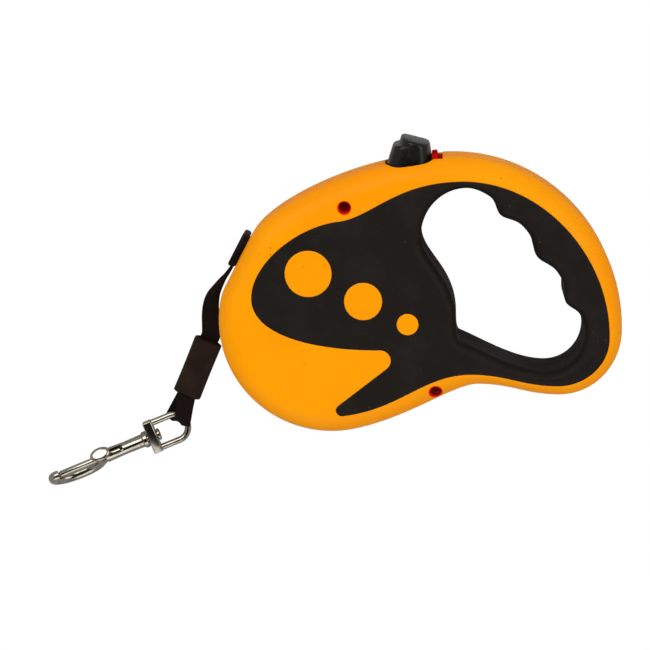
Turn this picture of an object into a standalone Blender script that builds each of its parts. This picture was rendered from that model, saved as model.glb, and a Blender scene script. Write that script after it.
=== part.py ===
"""Retractable dog leash: two-part housing with a rubber grip, sprung reel, brake and swivel snap."""
import math

import bmesh
import bpy
from mathutils import Matrix, Vector

# Housing, in metres. The origin is on the reel's axis, with the rear face on Z = 0.
THICKNESS = 0.032
BODY_RADIUS = 0.046
CROWN = Vector((0.050, 0.0685))
REACH = Vector((0.1187, -0.003))
HEEL = Vector((0.0935, -0.030))
WAIST = Vector((0.0607, -0.0254))
EDGE_RADIUS = 0.009
WALL = 0.0024
FACE_WALL = 0.002
FIT = 0.0003
MID = THICKNESS / 2
HALF = THICKNESS / 2
ARC_FACTOR = 0.5523

# Flat on the rim where the tape leaves
OUTLET_ANGLE = math.radians(152.6)
FLAT_DEPTH = 0.001
FLAT_START = -0.0164
FLAT_END = 0.0058
OUT = Vector((math.cos(OUTLET_ANGLE), math.sin(OUTLET_ANGLE)))
ALONG = Vector((-OUT.y, OUT.x))
FLAT_DISTANCE = BODY_RADIUS - FLAT_DEPTH
FLAT_CENTRE = (FLAT_START + FLAT_END) / 2

# Hooded mouth on that flat: a hood outside, a neck through the wall and a lip inside
HOOD_TOP = -0.0105
HOOD_BOTTOM = 0.004
HOOD_HEIGHT = 0.0033
HOOD_HALF = 0.007
NECK_TOP = -0.0087
NECK_BOTTOM = 0.0032
NECK_HALF = 0.0053
LIP_BOTTOM = 0.0045
LIP_HALF = 0.0068
LIP_THICKNESS = 0.0017
CHANNEL_HALF = 0.0012

# Rubber grip and hand opening
GRIP_THICKNESS = 0.0012
OPENING_TOP = Vector((0.0553, 0.0562))
OPENING_LEFT = Vector((0.0364, 0.0365))
OPENING_BULGE = Vector((0.0502, 0.001))
OPENING_CORNER = Vector((0.0505, -0.0062))
OPENING_FLOOR = Vector((0.088, -0.0198))
OPENING_RIGHT = Vector((0.1034, -0.003))
OPENING_EDGE = 0.003
FINGER_RIDGE = 0.0026
FINGER_COUNT = 3
RIM_TOP = 0.0097
RIM_SIDE = 0.0046
RIM_HEEL = 0.005
RIM_WAIST = 0.0054
WINDOWS = (
    (Vector((-0.0089, 0.0218)), 0.0095),
    (Vector((0.0136, 0.0101)), 0.0077),
    (Vector((0.0321, 0.0006)), 0.0044),
)

# Housing screws
SCREW_PLACES = (Vector((0.0062, 0.0484)), Vector((0.0432, -0.0275)))
SCREW_BOSS = 0.0036
SCREW_HEAD = 0.002
SCREW_SHANK = 0.0011
SCREW_SEAT = 0.008
SCREW_REACH = 0.009

# Reel, axle and spring
TAPE_WIDTH = 0.008
TAPE_THICKNESS = 0.001
REEL_GAP = 0.0041
REEL_RADIUS = BODY_RADIUS - WALL - REEL_GAP
TOOTH_DEPTH = 0.003
TOOTH_COUNT = 24
FLANGE = 0.0022
HUB_RADIUS = 0.019
HUB_WALL = 0.002
COIL_RADIUS = 0.0337
AXLE_RADIUS = 0.004
TAPE_SLACK = 0.0005
REEL_HALF = TAPE_WIDTH / 2 + TAPE_SLACK + FLANGE
SPRING_TURNS = 5
SPRING_BAND = 0.0006
SEAT_GAP = 0.0005
SEAT_REACH = 0.0118

# Brake button, lock slide and pawl
BUTTON_X = 0.033
BUTTON_HALF_WIDTH = 0.010
BUTTON_FRONT = -0.0085
BUTTON_BACK = 0.008
LOCK_TRAVEL = 0.002
TONGUE = 0.0013
TRAY_DEPTH = 0.0088
TRAY_THICKNESS = 0.0015
TRAY_FRONT = -0.011
TRAY_HALF_WIDTH = 0.0112
TONGUE_HALF_WIDTH = 0.0096
TONGUE_TOP = 0.0004
RAIL_FRONT = -0.012
RAIL_BACK = 0.009
RAIL_INSIDE = 0.0095
RAIL_THICKNESS = 0.0015
PUSHER_DEPTH = 0.0114
PUSHER_PLACE = -0.003
PUSHER_RADIUS = 0.0016
PAWL_PIVOT = Vector((0.020, 0.0495))
PAWL_HALF = 0.0045
PAWL_DROP = 0.003
PAWL_GAP = 0.0007
PAWL_PIN = 0.0015
PAWL_ANGLE = math.radians(50)

# Snap at the end of the tape
SLEEVE_TOP = Vector((-0.0526, -0.0124, 0.0031))
SLEEVE_HEADING = math.radians(247.5)
SLEEVE_LENGTH = 0.025
SLEEVE_WIDTH = 0.0112
SLEEVE_THICKNESS = 0.0056
SLEEVE_WALL = 0.0011
LOOP_BEND = 0.003
LOOP_CLEARANCE = 0.0013
LOOP_PINCH = 0.0068
EYE_WIRE = 0.0014
EYE_RADIUS = 0.0057
EYE_LENGTH = 0.010
EYE_BASE = 0.004
SNAP_HEADING = math.radians(201.7)
SNAP_PITCH = math.radians(7.7)
SNAP_ROLL = math.radians(28)
EYE_CENTRE = Vector((-0.0677, -0.0503, 0.0047))
BARREL_RADIUS = 0.003
BARREL_LENGTH = 0.020
STEM_RADIUS = 0.0016
STEM_HEAD = 0.0026
HOOK_WIRE = 0.0021
BOLT_RADIUS = 0.00145
BOLT_REACH = 0.0409

# The tape's route from the wound coil to the sleeve, with its twist about its own run.
# It was drawn for a flat this far from the reel's axis, and its points in the mouth move with the flat.
ROUTE_FLAT = 0.045
MOUTH_POINTS = (2, 6)
TAPE_ROUTE = (
    (-0.0127, 0.0325, 0.0160, 0),
    (-0.0230, 0.0297, 0.0160, 0),
    (-0.0325, 0.0270, 0.0160, 0),
    (-0.0360, 0.0262, 0.0160, 0),
    (-0.0387, 0.0247, 0.0160, 1),
    (-0.0408, 0.0219, 0.0160, 3),
    (-0.0431, 0.0186, 0.0157, 8),
    (-0.0461, 0.0147, 0.0147, 17),
    (-0.0495, 0.0088, 0.0123, 36),
    (-0.0510, 0.0020, 0.0089, 56),
    (-0.0512, -0.0048, 0.0055, 76),
    (-0.0515, -0.0097, 0.0035, 88),
    (-0.0526, -0.0124, 0.0031, 90),
    (-0.0545, -0.0170, 0.0031, 90),
    (-0.0561, -0.0209, 0.0031, 90),
)


def clear_scene():
    for thing in list(bpy.data.objects):
        bpy.data.objects.remove(thing, do_unlink=True)


def make_material(name, colour, roughness, metallic=0.0):
    material = bpy.data.materials.new(name)
    material.use_nodes = True
    shader = material.node_tree.nodes["Principled BSDF"]
    shader.inputs["Base Color"].default_value = (*colour, 1.0)
    shader.inputs["Roughness"].default_value = roughness
    shader.inputs["Metallic"].default_value = metallic
    return material


def new_object(name, mesh, material=None):
    thing = bpy.data.objects.new(name, mesh)
    leash.objects.link(thing)
    if material:
        mesh.materials.clear()
        mesh.materials.append(material)
    return thing


def from_bmesh(name, shape, material=None):
    bmesh.ops.recalc_face_normals(shape, faces=shape.faces)
    mesh = bpy.data.meshes.new(name)
    shape.to_mesh(mesh)
    shape.free()
    return new_object(name, mesh, material)


def evaluated_mesh(thing):
    """The object's mesh with its modifiers and its place applied."""
    depsgraph = bpy.context.evaluated_depsgraph_get()
    mesh = bpy.data.meshes.new_from_object(thing.evaluated_get(depsgraph))
    mesh.transform(thing.matrix_world)
    return mesh


def baked(thing, weld=1e-6):
    """Turn a curve or a modified object into a plain welded mesh object of the same name."""
    bpy.context.view_layer.update()
    name = thing.name
    shape = bmesh.new()
    shape.from_mesh(evaluated_mesh(thing))
    bpy.data.objects.remove(thing, do_unlink=True)
    bmesh.ops.remove_doubles(shape, verts=shape.verts, dist=weld)
    return from_bmesh(name, shape)


def combine(target, tool, operation):
    """Boolean the tool into the target and remove the tool."""
    modifier = target.modifiers.new(operation.title(), "BOOLEAN")
    modifier.operation = operation
    modifier.solver = "EXACT"
    modifier.object = tool
    result = baked(target)
    bpy.data.objects.remove(tool, do_unlink=True)
    return result


def cut(target, *tools):
    for tool in tools:
        target = combine(target, tool, "DIFFERENCE")
    return target


def join(target, *tools):
    for tool in tools:
        target = combine(target, tool, "UNION")
    return target


def paint(thing, name, material, angle=35):
    """Give a finished piece its name, material and smooth shading."""
    thing.name = name
    thing.data.name = name
    thing.data.materials.clear()
    thing.data.materials.append(material)
    thing.data.shade_smooth()
    thing.data.set_sharp_from_angle(angle=math.radians(angle))
    return thing


def place(thing, matrix):
    thing.data.transform(matrix)
    return thing


def frame(origin, x_axis, z_axis):
    """A placing matrix from an origin and two square directions."""
    x_axis = Vector(x_axis).normalized()
    z_axis = Vector(z_axis).normalized()
    y_axis = z_axis.cross(x_axis)
    turn = Matrix((x_axis, y_axis, z_axis)).transposed().to_4x4()
    return Matrix.Translation(origin) @ turn


def box(low, high, bevel=0.0, segments=2):
    """A block between two corners, with rounded edges."""
    low, high = Vector(low), Vector(high)
    shape = bmesh.new()
    bmesh.ops.create_cube(shape, size=1.0)
    bmesh.ops.scale(shape, vec=high - low, verts=shape.verts)
    bmesh.ops.translate(shape, vec=(low + high) / 2, verts=shape.verts)
    if bevel:
        bmesh.ops.bevel(shape, geom=shape.edges, offset=bevel, segments=segments, profile=0.5, affect="EDGES")
    return from_bmesh("box", shape)


def cylinder(place_xy, radius, low, high, sides=24):
    shape = bmesh.new()
    centre = Vector((place_xy[0], place_xy[1], (low + high) / 2))
    bmesh.ops.create_cone(
        shape, cap_ends=True, segments=sides, radius1=radius, radius2=radius, depth=high - low,
        matrix=Matrix.Translation(centre),
    )
    return from_bmesh("cylinder", shape)


def rod(radius, start, end, sides=20):
    """A cylinder along the X axis."""
    return place(cylinder((0, 0), radius, start, end, sides), Matrix.Rotation(math.pi / 2, 4, "Y"))


def turned(name, profile, steps=36):
    """A closed (radius, height) profile carried round the Z axis."""
    shape = bmesh.new()
    points = [shape.verts.new((radius, 0, height)) for radius, height in profile]
    for one, two in zip(points, points[1:] + points[:1]):
        shape.edges.new((one, two))
    thing = from_bmesh(name, shape)
    screw = thing.modifiers.new("Screw", "SCREW")
    screw.steps = steps
    screw.render_steps = steps
    screw.use_merge_vertices = True
    screw.merge_threshold = 1e-6
    return baked(thing)


def plate(name, outline, low, high):
    """A flat outline with a thickness."""
    curve = bpy.data.curves.new(name, "CURVE")
    curve.dimensions = "2D"
    curve.fill_mode = "BOTH"
    curve.extrude = (high - low) / 2
    spline = curve.splines.new("POLY")
    spline.points.add(len(outline) - 1)
    for point, spot in zip(spline.points, outline):
        point.co = (spot[0], spot[1], 0, 1)
    spline.use_cyclic_u = True
    thing = bpy.data.objects.new(name, curve)
    leash.objects.link(thing)
    thing.location.z = (low + high) / 2
    return baked(thing)


def tube(name, points, radius, cyclic=False, resolution=2):
    """A round wire along a run of points."""
    curve = bpy.data.curves.new(name, "CURVE")
    curve.dimensions = "3D"
    curve.bevel_depth = radius
    curve.bevel_resolution = resolution
    curve.use_fill_caps = True
    spline = curve.splines.new("POLY")
    spline.points.add(len(points) - 1)
    for point, spot in zip(spline.points, points):
        point.co = (*spot, 1)
    spline.use_cyclic_u = cyclic
    thing = bpy.data.objects.new(name, curve)
    leash.objects.link(thing)
    return baked(thing)


def loft(name, rings):
    """A closed solid through rings of equally many points."""
    shape = bmesh.new()
    loops = [[shape.verts.new(point) for point in ring] for ring in rings]
    for lower, upper in zip(loops, loops[1:]):
        for i in range(len(lower)):
            j = (i + 1) % len(lower)
            shape.faces.new((lower[i], lower[j], upper[j], upper[i]))
    shape.faces.new(list(reversed(loops[0])))
    shape.faces.new(loops[-1])
    return from_bmesh(name, shape)


def bezier(start, start_handle, end_handle, end, steps):
    """Points along a cubic curve, without the last one."""
    points = []
    for i in range(steps):
        t = i / steps
        s = 1 - t
        points.append(s ** 3 * start + 3 * s * s * t * start_handle + 3 * s * t * t * end_handle + t ** 3 * end)
    return points


def quarter(start, corner, end, steps):
    """A quarter ellipse that is tangent to the two sides of a corner."""
    return bezier(
        start, start + ARC_FACTOR * (corner - start), end + ARC_FACTOR * (corner - end), end, steps)


def polar(radius, angle):
    return Vector((radius * math.cos(angle), radius * math.sin(angle)))


def arc(centre, radius, start, end, steps):
    """Points along an arc given in degrees, without the last one."""
    span = math.radians(end - start)
    return [centre + polar(radius, math.radians(start) + span * i / steps) for i in range(steps)]


def offset(outline, distance):
    """The outline moved out square to itself; a negative distance moves it in."""
    moved = []
    count = len(outline)
    for i, point in enumerate(outline):
        before = (point - outline[i - 1]).normalized()
        after = (outline[(i + 1) % count] - point).normalized()
        tangent = (before + after).normalized()
        normal = Vector((tangent.y, -tangent.x))
        moved.append(point + normal * distance / max(0.5, tangent.dot(after)))
    return moved


def smooth_run(points, steps):
    """A smooth curve through points of any dimension."""
    run = []
    last = len(points) - 1
    for i in range(last):
        a, b, c, d = points[max(i - 1, 0)], points[i], points[i + 1], points[min(i + 2, last)]
        for k in range(steps):
            t = k / steps
            run.append(
                0.5 * (2 * b + (c - a) * t + (2 * a - 5 * b + 4 * c - d) * t * t
                       + (3 * b - a - 3 * c + d) * t ** 3))
    run.append(points[last])
    return run


def housing_outline():
    """The housing's outline seen from the front, anticlockwise from the left of the round body."""
    arc_start, arc_end = 170, 283
    origin = Vector((0, 0))
    flat_top = OUT * FLAT_DISTANCE + ALONG * FLAT_START
    flat_bottom = OUT * FLAT_DISTANCE + ALONG * FLAT_END
    belly = polar(BODY_RADIUS, math.radians(arc_end))
    belly_heading = polar(1, math.radians(arc_end + 90))
    shoulder = polar(BODY_RADIUS, math.radians(arc_start))
    shoulder_heading = polar(1, math.radians(arc_start + 90))
    level = Vector((1, 0))
    points = arc(origin, BODY_RADIUS, arc_start, arc_end, 18)
    points += bezier(belly, belly + 0.024 * belly_heading, WAIST - 0.010 * level, WAIST, 6)
    points += bezier(WAIST, WAIST + 0.014 * level, HEEL - 0.014 * level, HEEL, 5)
    points += quarter(HEEL, Vector((REACH.x, HEEL.y)), REACH, 8)
    points += quarter(REACH, Vector((REACH.x, CROWN.y)), CROWN, 13)
    points += bezier(CROWN, CROWN - 0.036 * level, flat_top - 0.015 * ALONG, flat_top, 11)
    points += [flat_top]
    points += bezier(flat_bottom, flat_bottom + 0.003 * ALONG, shoulder - 0.003 * shoulder_heading, shoulder, 3)
    return points


def opening_outline(ridge=0.0):
    """The hand opening, with finger ridges of a given height on the handle's side."""
    down = Vector((0, -1))
    floor_start = OPENING_CORNER + Vector((0.0014, -0.001))
    points = quarter(OPENING_TOP, Vector((OPENING_LEFT.x, OPENING_TOP.y)), OPENING_LEFT, 7)
    points += bezier(OPENING_LEFT, OPENING_LEFT + 0.0105 * down, OPENING_BULGE - 0.019 * down, OPENING_BULGE, 8)
    points += bezier(OPENING_BULGE, OPENING_BULGE + 0.004 * down, floor_start - Vector((0.0012, -0.0005)),
                     floor_start, 4)
    points += bezier(floor_start, floor_start + Vector((0.0105, -0.0045)), OPENING_FLOOR - Vector((0.012, 0)),
                     OPENING_FLOOR, 7)
    points += quarter(OPENING_FLOOR, Vector((OPENING_RIGHT.x, OPENING_FLOOR.y)), OPENING_RIGHT, 7)
    palm = OPENING_TOP + Vector((0.0167, 0))
    grip = bezier(OPENING_RIGHT, OPENING_RIGHT - 0.012 * down, palm, OPENING_TOP, 26)
    for i, point in enumerate(grip):
        ahead = grip[(i + 1) % len(grip)] if i + 1 < len(grip) else OPENING_TOP
        tangent = (ahead - grip[i - 1] if i else ahead - point).normalized()
        phase = (i / len(grip) - 0.02) * (FINGER_COUNT + 0.9)
        swell = 0.5 - 0.5 * math.cos(2 * math.pi * phase)
        inside = 0 < phase < FINGER_COUNT
        points.append(point + Vector((-tangent.y, tangent.x)) * ridge * (swell ** 1.5 if inside else 0))
    return points


def grip_outline():
    """The rubber grip's outline: a band round the opening, a lobe on the body and a lower tail."""
    level = Vector((1, 0))
    top = Vector((CROWN.x + 0.0054, CROWN.y - RIM_TOP))
    side = Vector((REACH.x - RIM_SIDE, REACH.y - 0.002))
    heel = Vector((HEEL.x - 0.0012, HEEL.y + RIM_HEEL))
    waist = Vector((WAIST.x - 0.0032, WAIST.y + RIM_WAIST))
    lobe_left = Vector((-0.689 * BODY_RADIUS, 0.239 * BODY_RADIUS))
    lobe_top = Vector((0.087 * BODY_RADIUS, 0.930 * BODY_RADIUS))
    tail = Vector((0.135 * BODY_RADIUS, -0.804 * BODY_RADIUS))
    tail_radius = 0.0024
    tail_centre = tail + Vector((-0.0004, tail_radius))
    notch_centre = Vector((0.448 * BODY_RADIUS, -0.311 * BODY_RADIUS))
    notch_radius = 0.0043
    brow = 0.0234 * level
    points = [top]
    points += bezier(top - brow * 0.45, top - brow, lobe_top + Vector((0.014, 0.0014)), lobe_top, 9)
    points += bezier(lobe_top, lobe_top - Vector((0.018, 0.0013)),
                     lobe_left + Vector((0, 0.016)), lobe_left, 12)
    notch_top = notch_centre + Vector((0, notch_radius))
    points += bezier(lobe_left, lobe_left - Vector((0, 0.0135)), notch_top - Vector((0.026, 0)), notch_top, 12)
    points += list(reversed(arc(notch_centre, notch_radius, -55, 90, 7)))
    points += arc(tail_centre, tail_radius, 125, 265, 6)
    points += bezier(tail, tail + Vector((0.0238, 0.003)), waist - 0.0195 * level, waist, 12)
    points += bezier(waist, waist + 0.014 * level, heel - 0.014 * level, heel, 5)
    points += quarter(heel, Vector((side.x, heel.y)), side, 8)
    points += quarter(side, Vector((side.x, top.y)), top, 12)
    return points


def rounded_levels(inset, low, face, radius, steps=3):
    """Offsets and heights of a wall that turns over into a face with a round edge."""
    levels = [(-inset, low), (-inset, face - radius)]
    for i in range(1, steps + 1):
        angle = math.pi / 2 * i / steps
        levels.append((-inset - radius * (1 - math.cos(angle)), face - radius + radius * math.sin(angle)))
    return levels


def rings(outline, levels):
    return [[Vector((p.x, p.y, z)) for p in offset(outline, out)] for out, z in levels]


def half_body(inset, low, face):
    """Half of the housing's volume, above its middle plane, drawn in by an inset."""
    return loft("half", rings(housing_outline(), rounded_levels(inset, low, face, EDGE_RADIUS - inset)))


def opening_cutter(outline, grow, face, radius, steps=2):
    """The hand opening's volume, flaring out at the face with a round edge."""
    levels = [(grow, -0.001), (grow, face - radius)]
    for i in range(1, steps + 1):
        angle = math.pi / 2 * i / steps
        levels.append((grow + radius * (1 - math.cos(angle)), face - radius + radius * math.sin(angle)))
    levels.append((grow + radius, face + 0.003))
    return loft("opening", rings(outline, levels))


def core(shrink):
    """The housing under the grip, drawn in by a depth, with its opening grown by the same depth."""
    body = half_body(shrink, 0.0, HALF - shrink)
    return cut(body, opening_cutter(opening_outline(), shrink, HALF - shrink, OPENING_EDGE))


def rim_frame():
    """A frame on the top of the rim: X along it to the back, Y out of it, Z across."""
    outline = housing_outline()
    upper = [p for p in outline if p.y > 0.8 * BODY_RADIUS]
    for one, two in zip(upper, upper[1:]):
        if two.x <= BUTTON_X <= one.x:
            spot = two.lerp(one, (BUTTON_X - two.x) / (one.x - two.x))
            along = (one - two).normalized()
            return Matrix.Translation((spot.x, spot.y, 0)) @ Matrix.Rotation(
                math.atan2(along.y, along.x), 4, "Z")
    raise ValueError("the button is off the rim")


def flat_frame():
    """A frame on the outlet's flat: X along it and down, Y inward, Z across."""
    middle = OUT * FLAT_DISTANCE + ALONG * FLAT_CENTRE
    return frame((middle.x, middle.y, 0), (*ALONG, 0), (0, 0, 1))


def flipped(thing):
    """Turn a front half, modelled above the middle plane, into a rear half."""
    thing.data.transform(Matrix.Translation((0, 0, MID)) @ Matrix.Scale(-1, 4, (0, 0, 1)))
    thing.data.flip_normals()
    return thing


def raised(thing):
    thing.data.transform(Matrix.Translation((0, 0, MID)))
    return thing


def shell_half(is_front):
    """One moulded half of the housing, with its grip recess, bosses, seats and cut-outs."""
    outer = half_body(0.0, FIT / 2, HALF)
    recess = plate("recess", offset(grip_outline(), FIT / 2), -0.001, HALF + 0.001)
    under = core(GRIP_THICKNESS)
    for centre, radius in WINDOWS:
        under = join(under, cylinder(centre, radius - FIT / 2, HALF - 0.006, HALF + 0.002, 24))
    shell = cut(outer, cut(recess, under))
    hollow = half_body(WALL, -0.001, HALF - GRIP_THICKNESS - FACE_WALL)
    tunnel = loft("tunnel", rings(opening_outline(), [
        (GRIP_THICKNESS + FACE_WALL, -0.002), (GRIP_THICKNESS + FACE_WALL, HALF)]))
    shell = cut(shell, cut(hollow, tunnel))
    rooted = HALF - GRIP_THICKNESS - FACE_WALL / 2
    pedestal = REEL_HALF + SEAT_GAP
    shell = join(shell, cylinder((0, 0), 2 * AXLE_RADIUS, pedestal, rooted, 32))
    shell = cut(shell, cylinder((0, 0), AXLE_RADIUS + FIT, 0, SEAT_REACH, 24))
    for spot in SCREW_PLACES:
        shell = join(shell, cylinder(spot, SCREW_BOSS, FIT / 2, rooted - 0.0006, 20))
    for spot in SCREW_PLACES:
        if is_front:
            shell = cut(shell, cylinder(spot, SCREW_HEAD + FIT, SCREW_SEAT, HALF + 0.002, 20),
                        cylinder(spot, SCREW_SHANK + 1.5 * FIT, -0.001, SCREW_SEAT + 0.001, 16))
        else:
            shell = cut(shell, cylinder(spot, SCREW_SHANK + FIT, -0.001, SCREW_REACH + 0.0005, 16))
    pin_seat = PAWL_HALF + FIT - (PAWL_DROP if is_front else -PAWL_DROP)
    shell = join(shell, cylinder(PAWL_PIVOT, 2 * PAWL_PIN, pin_seat, rooted, 20))
    shell = cut(shell, cylinder(PAWL_PIVOT, PAWL_PIN + FIT, 0, SEAT_REACH, 16))
    tray_low = -TRAY_DEPTH - TRAY_THICKNESS - FIT
    rail = box((RAIL_FRONT, tray_low - RAIL_THICKNESS, RAIL_INSIDE), (RAIL_BACK, tray_low, rooted))
    shell = join(shell, place(rail, rim_frame()))
    slot_back = BUTTON_BACK + TONGUE + LOCK_TRAVEL + 3 * FIT
    shell = cut(shell, place(box((BUTTON_FRONT - FIT, -0.0078, -0.001),
                                 (slot_back, 0.006, BUTTON_HALF_WIDTH + FIT)), rim_frame()))
    window = box((NECK_TOP - FIT, -0.003, -0.001), (NECK_BOTTOM + FIT, 0.004, NECK_HALF + FIT))
    shell = cut(shell, place(window, flat_frame()))
    return raised(shell) if is_front else flipped(shell)


def grip_half(is_front):
    """The rubber skin over one half: a face layer that turns into the hand opening."""
    skin = half_body(0.0, FIT / 2, HALF)
    skin = cut(skin, opening_cutter(opening_outline(FINGER_RIDGE), 0.0, HALF, OPENING_EDGE))
    skin = combine(skin, plate("field", offset(grip_outline(), -FIT / 2), -0.001, HALF + 0.001), "INTERSECT")
    skin = cut(skin, core(GRIP_THICKNESS - FIT))
    for centre, radius in WINDOWS:
        skin = cut(skin, cylinder(centre, radius + FIT / 2, HALF - 0.006, HALF + 0.002, 24))
    return raised(skin) if is_front else flipped(skin)


def build_housing():
    for name, is_front in (("front_shell", True), ("rear_shell", False)):
        paint(shell_half(is_front), name, orange_plastic)
    for name, is_front in (("front_grip", True), ("rear_grip", False)):
        paint(grip_half(is_front), name, black_rubber)
    for number, spot in enumerate(SCREW_PLACES, 1):
        seat = MID + SCREW_SEAT + FIT
        screw = cylinder(spot, SCREW_HEAD, seat, seat + 0.002, 20)
        screw = join(screw, cylinder(spot, SCREW_SHANK, MID - SCREW_REACH, seat + 0.0005, 12))
        for turn in (0, math.pi / 2):
            bar = box((-0.0012, -0.0003, 0), (0.0012, 0.0003, 0.002))
            turned_bar = Matrix.Translation((*spot, seat + 0.001)) @ Matrix.Rotation(turn, 4, "Z")
            screw = cut(screw, place(bar, turned_bar))
        paint(screw, f"housing_screw_{number}", steel)


def ratchet_outline():
    """Saw teeth round the reel, with a gap facing the pawl."""
    step = 2 * math.pi / TOOTH_COUNT
    points = []
    for i in range(TOOTH_COUNT):
        start = PAWL_ANGLE + (i + 0.76) * step
        points.append(polar(REEL_RADIUS, start - 0.22 * step))
        points.append(polar(REEL_RADIUS, start + 0.12 * step))
        points.append(polar(REEL_RADIUS - TOOTH_DEPTH, start + 0.20 * step))
        points.append(polar(REEL_RADIUS - TOOTH_DEPTH, start + 0.70 * step))
    return points


def build_reel():
    low, high = MID - REEL_HALF, MID + REEL_HALF
    bore = AXLE_RADIUS + FIT
    drum = plate("drum", ratchet_outline(), low, low + FLANGE)
    drum = join(drum, cylinder((0, 0), HUB_RADIUS, low + FLANGE / 2, high - FLANGE - FIT, 40))
    drum = cut(drum, cylinder((0, 0), HUB_RADIUS - HUB_WALL, low + FLANGE, high, 40))
    drum = cut(drum, cylinder((0, 0), bore, low - 0.001, high, 24))
    paint(drum, "reel_drum", grey_plastic)
    inner = HUB_RADIUS - HUB_WALL - FIT
    cover_low = high - FLANGE
    paint(turned("cover", [
        (bore, high), (bore, cover_low), (inner - 0.0015, cover_low), (inner - 0.0015, cover_low - 0.0015),
        (inner, cover_low - 0.0015), (inner, cover_low), (REEL_RADIUS - TOOTH_DEPTH, cover_low),
        (REEL_RADIUS - TOOTH_DEPTH, high)]), "reel_cover", grey_plastic)
    half = TAPE_WIDTH / 2
    paint(turned("coil", [
        (HUB_RADIUS + FIT, MID + half), (HUB_RADIUS + FIT, MID - half),
        (COIL_RADIUS, MID - half), (COIL_RADIUS, MID + half)]), "wound_tape", black_webbing)
    paint(cylinder((0, 0), AXLE_RADIUS, MID - SEAT_REACH + FIT, MID + SEAT_REACH - FIT, 24), "axle", steel)
    turns = []
    steps = 16 * SPRING_TURNS
    first, last = AXLE_RADIUS + 2 * FIT, HUB_RADIUS - HUB_WALL - SPRING_BAND - FIT
    for i in range(steps + 1):
        t = i / steps
        turns.append((first + (last - first) * t ** 0.8, 2 * math.pi * SPRING_TURNS * t))
    band = [polar(radius, angle) for radius, angle in turns]
    band += [polar(radius + SPRING_BAND, angle) for radius, angle in reversed(turns)]
    paint(plate("spring", band, low + FLANGE + FIT, cover_low - 0.0015 - FIT), "mainspring", steel)


def tape_route():
    """The tape's route as vectors, with its points in the mouth carried along with the outlet's flat."""
    carried = OUT * (FLAT_DISTANCE - ROUTE_FLAT)
    first, last = MOUTH_POINTS
    route = [Vector(point) for point in TAPE_ROUTE]
    for point in route[first:last + 1]:
        point.xy += carried
    return route


def build_outlet():
    """The hooded mouth through which the tape leaves."""
    lip = WALL + FIT
    mouth = box((HOOD_TOP, -HOOD_HEIGHT, -HOOD_HALF), (HOOD_BOTTOM, -FIT, HOOD_HALF), 0.0009)
    neck = box((NECK_TOP, -HOOD_HEIGHT / 2, -NECK_HALF), (NECK_BOTTOM, lip + LIP_THICKNESS / 2, NECK_HALF))
    mouth = join(mouth, neck)
    mouth = join(mouth, box((HOOD_TOP, lip, -LIP_HALF), (LIP_BOTTOM, lip + LIP_THICKNESS, LIP_HALF)))
    mouth = place(mouth, Matrix.Translation((0, 0, MID)) @ flat_frame())
    slot = TAPE_WIDTH / 2 + 2 * FIT
    route = tape_route()
    first, last = MOUTH_POINTS
    for start, end in zip(route[first - 1:last], route[first:last + 1]):
        heading = end.to_2d() - start.to_2d()
        channel = box((-0.0008, -CHANNEL_HALF, -slot), (heading.length + 0.0008, CHANNEL_HALF, slot))
        mouth = cut(mouth, place(channel, frame((start.x, start.y, MID), (*heading, 0), (0, 0, 1))))
    paint(mouth, "tape_outlet", black_plastic)


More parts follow.
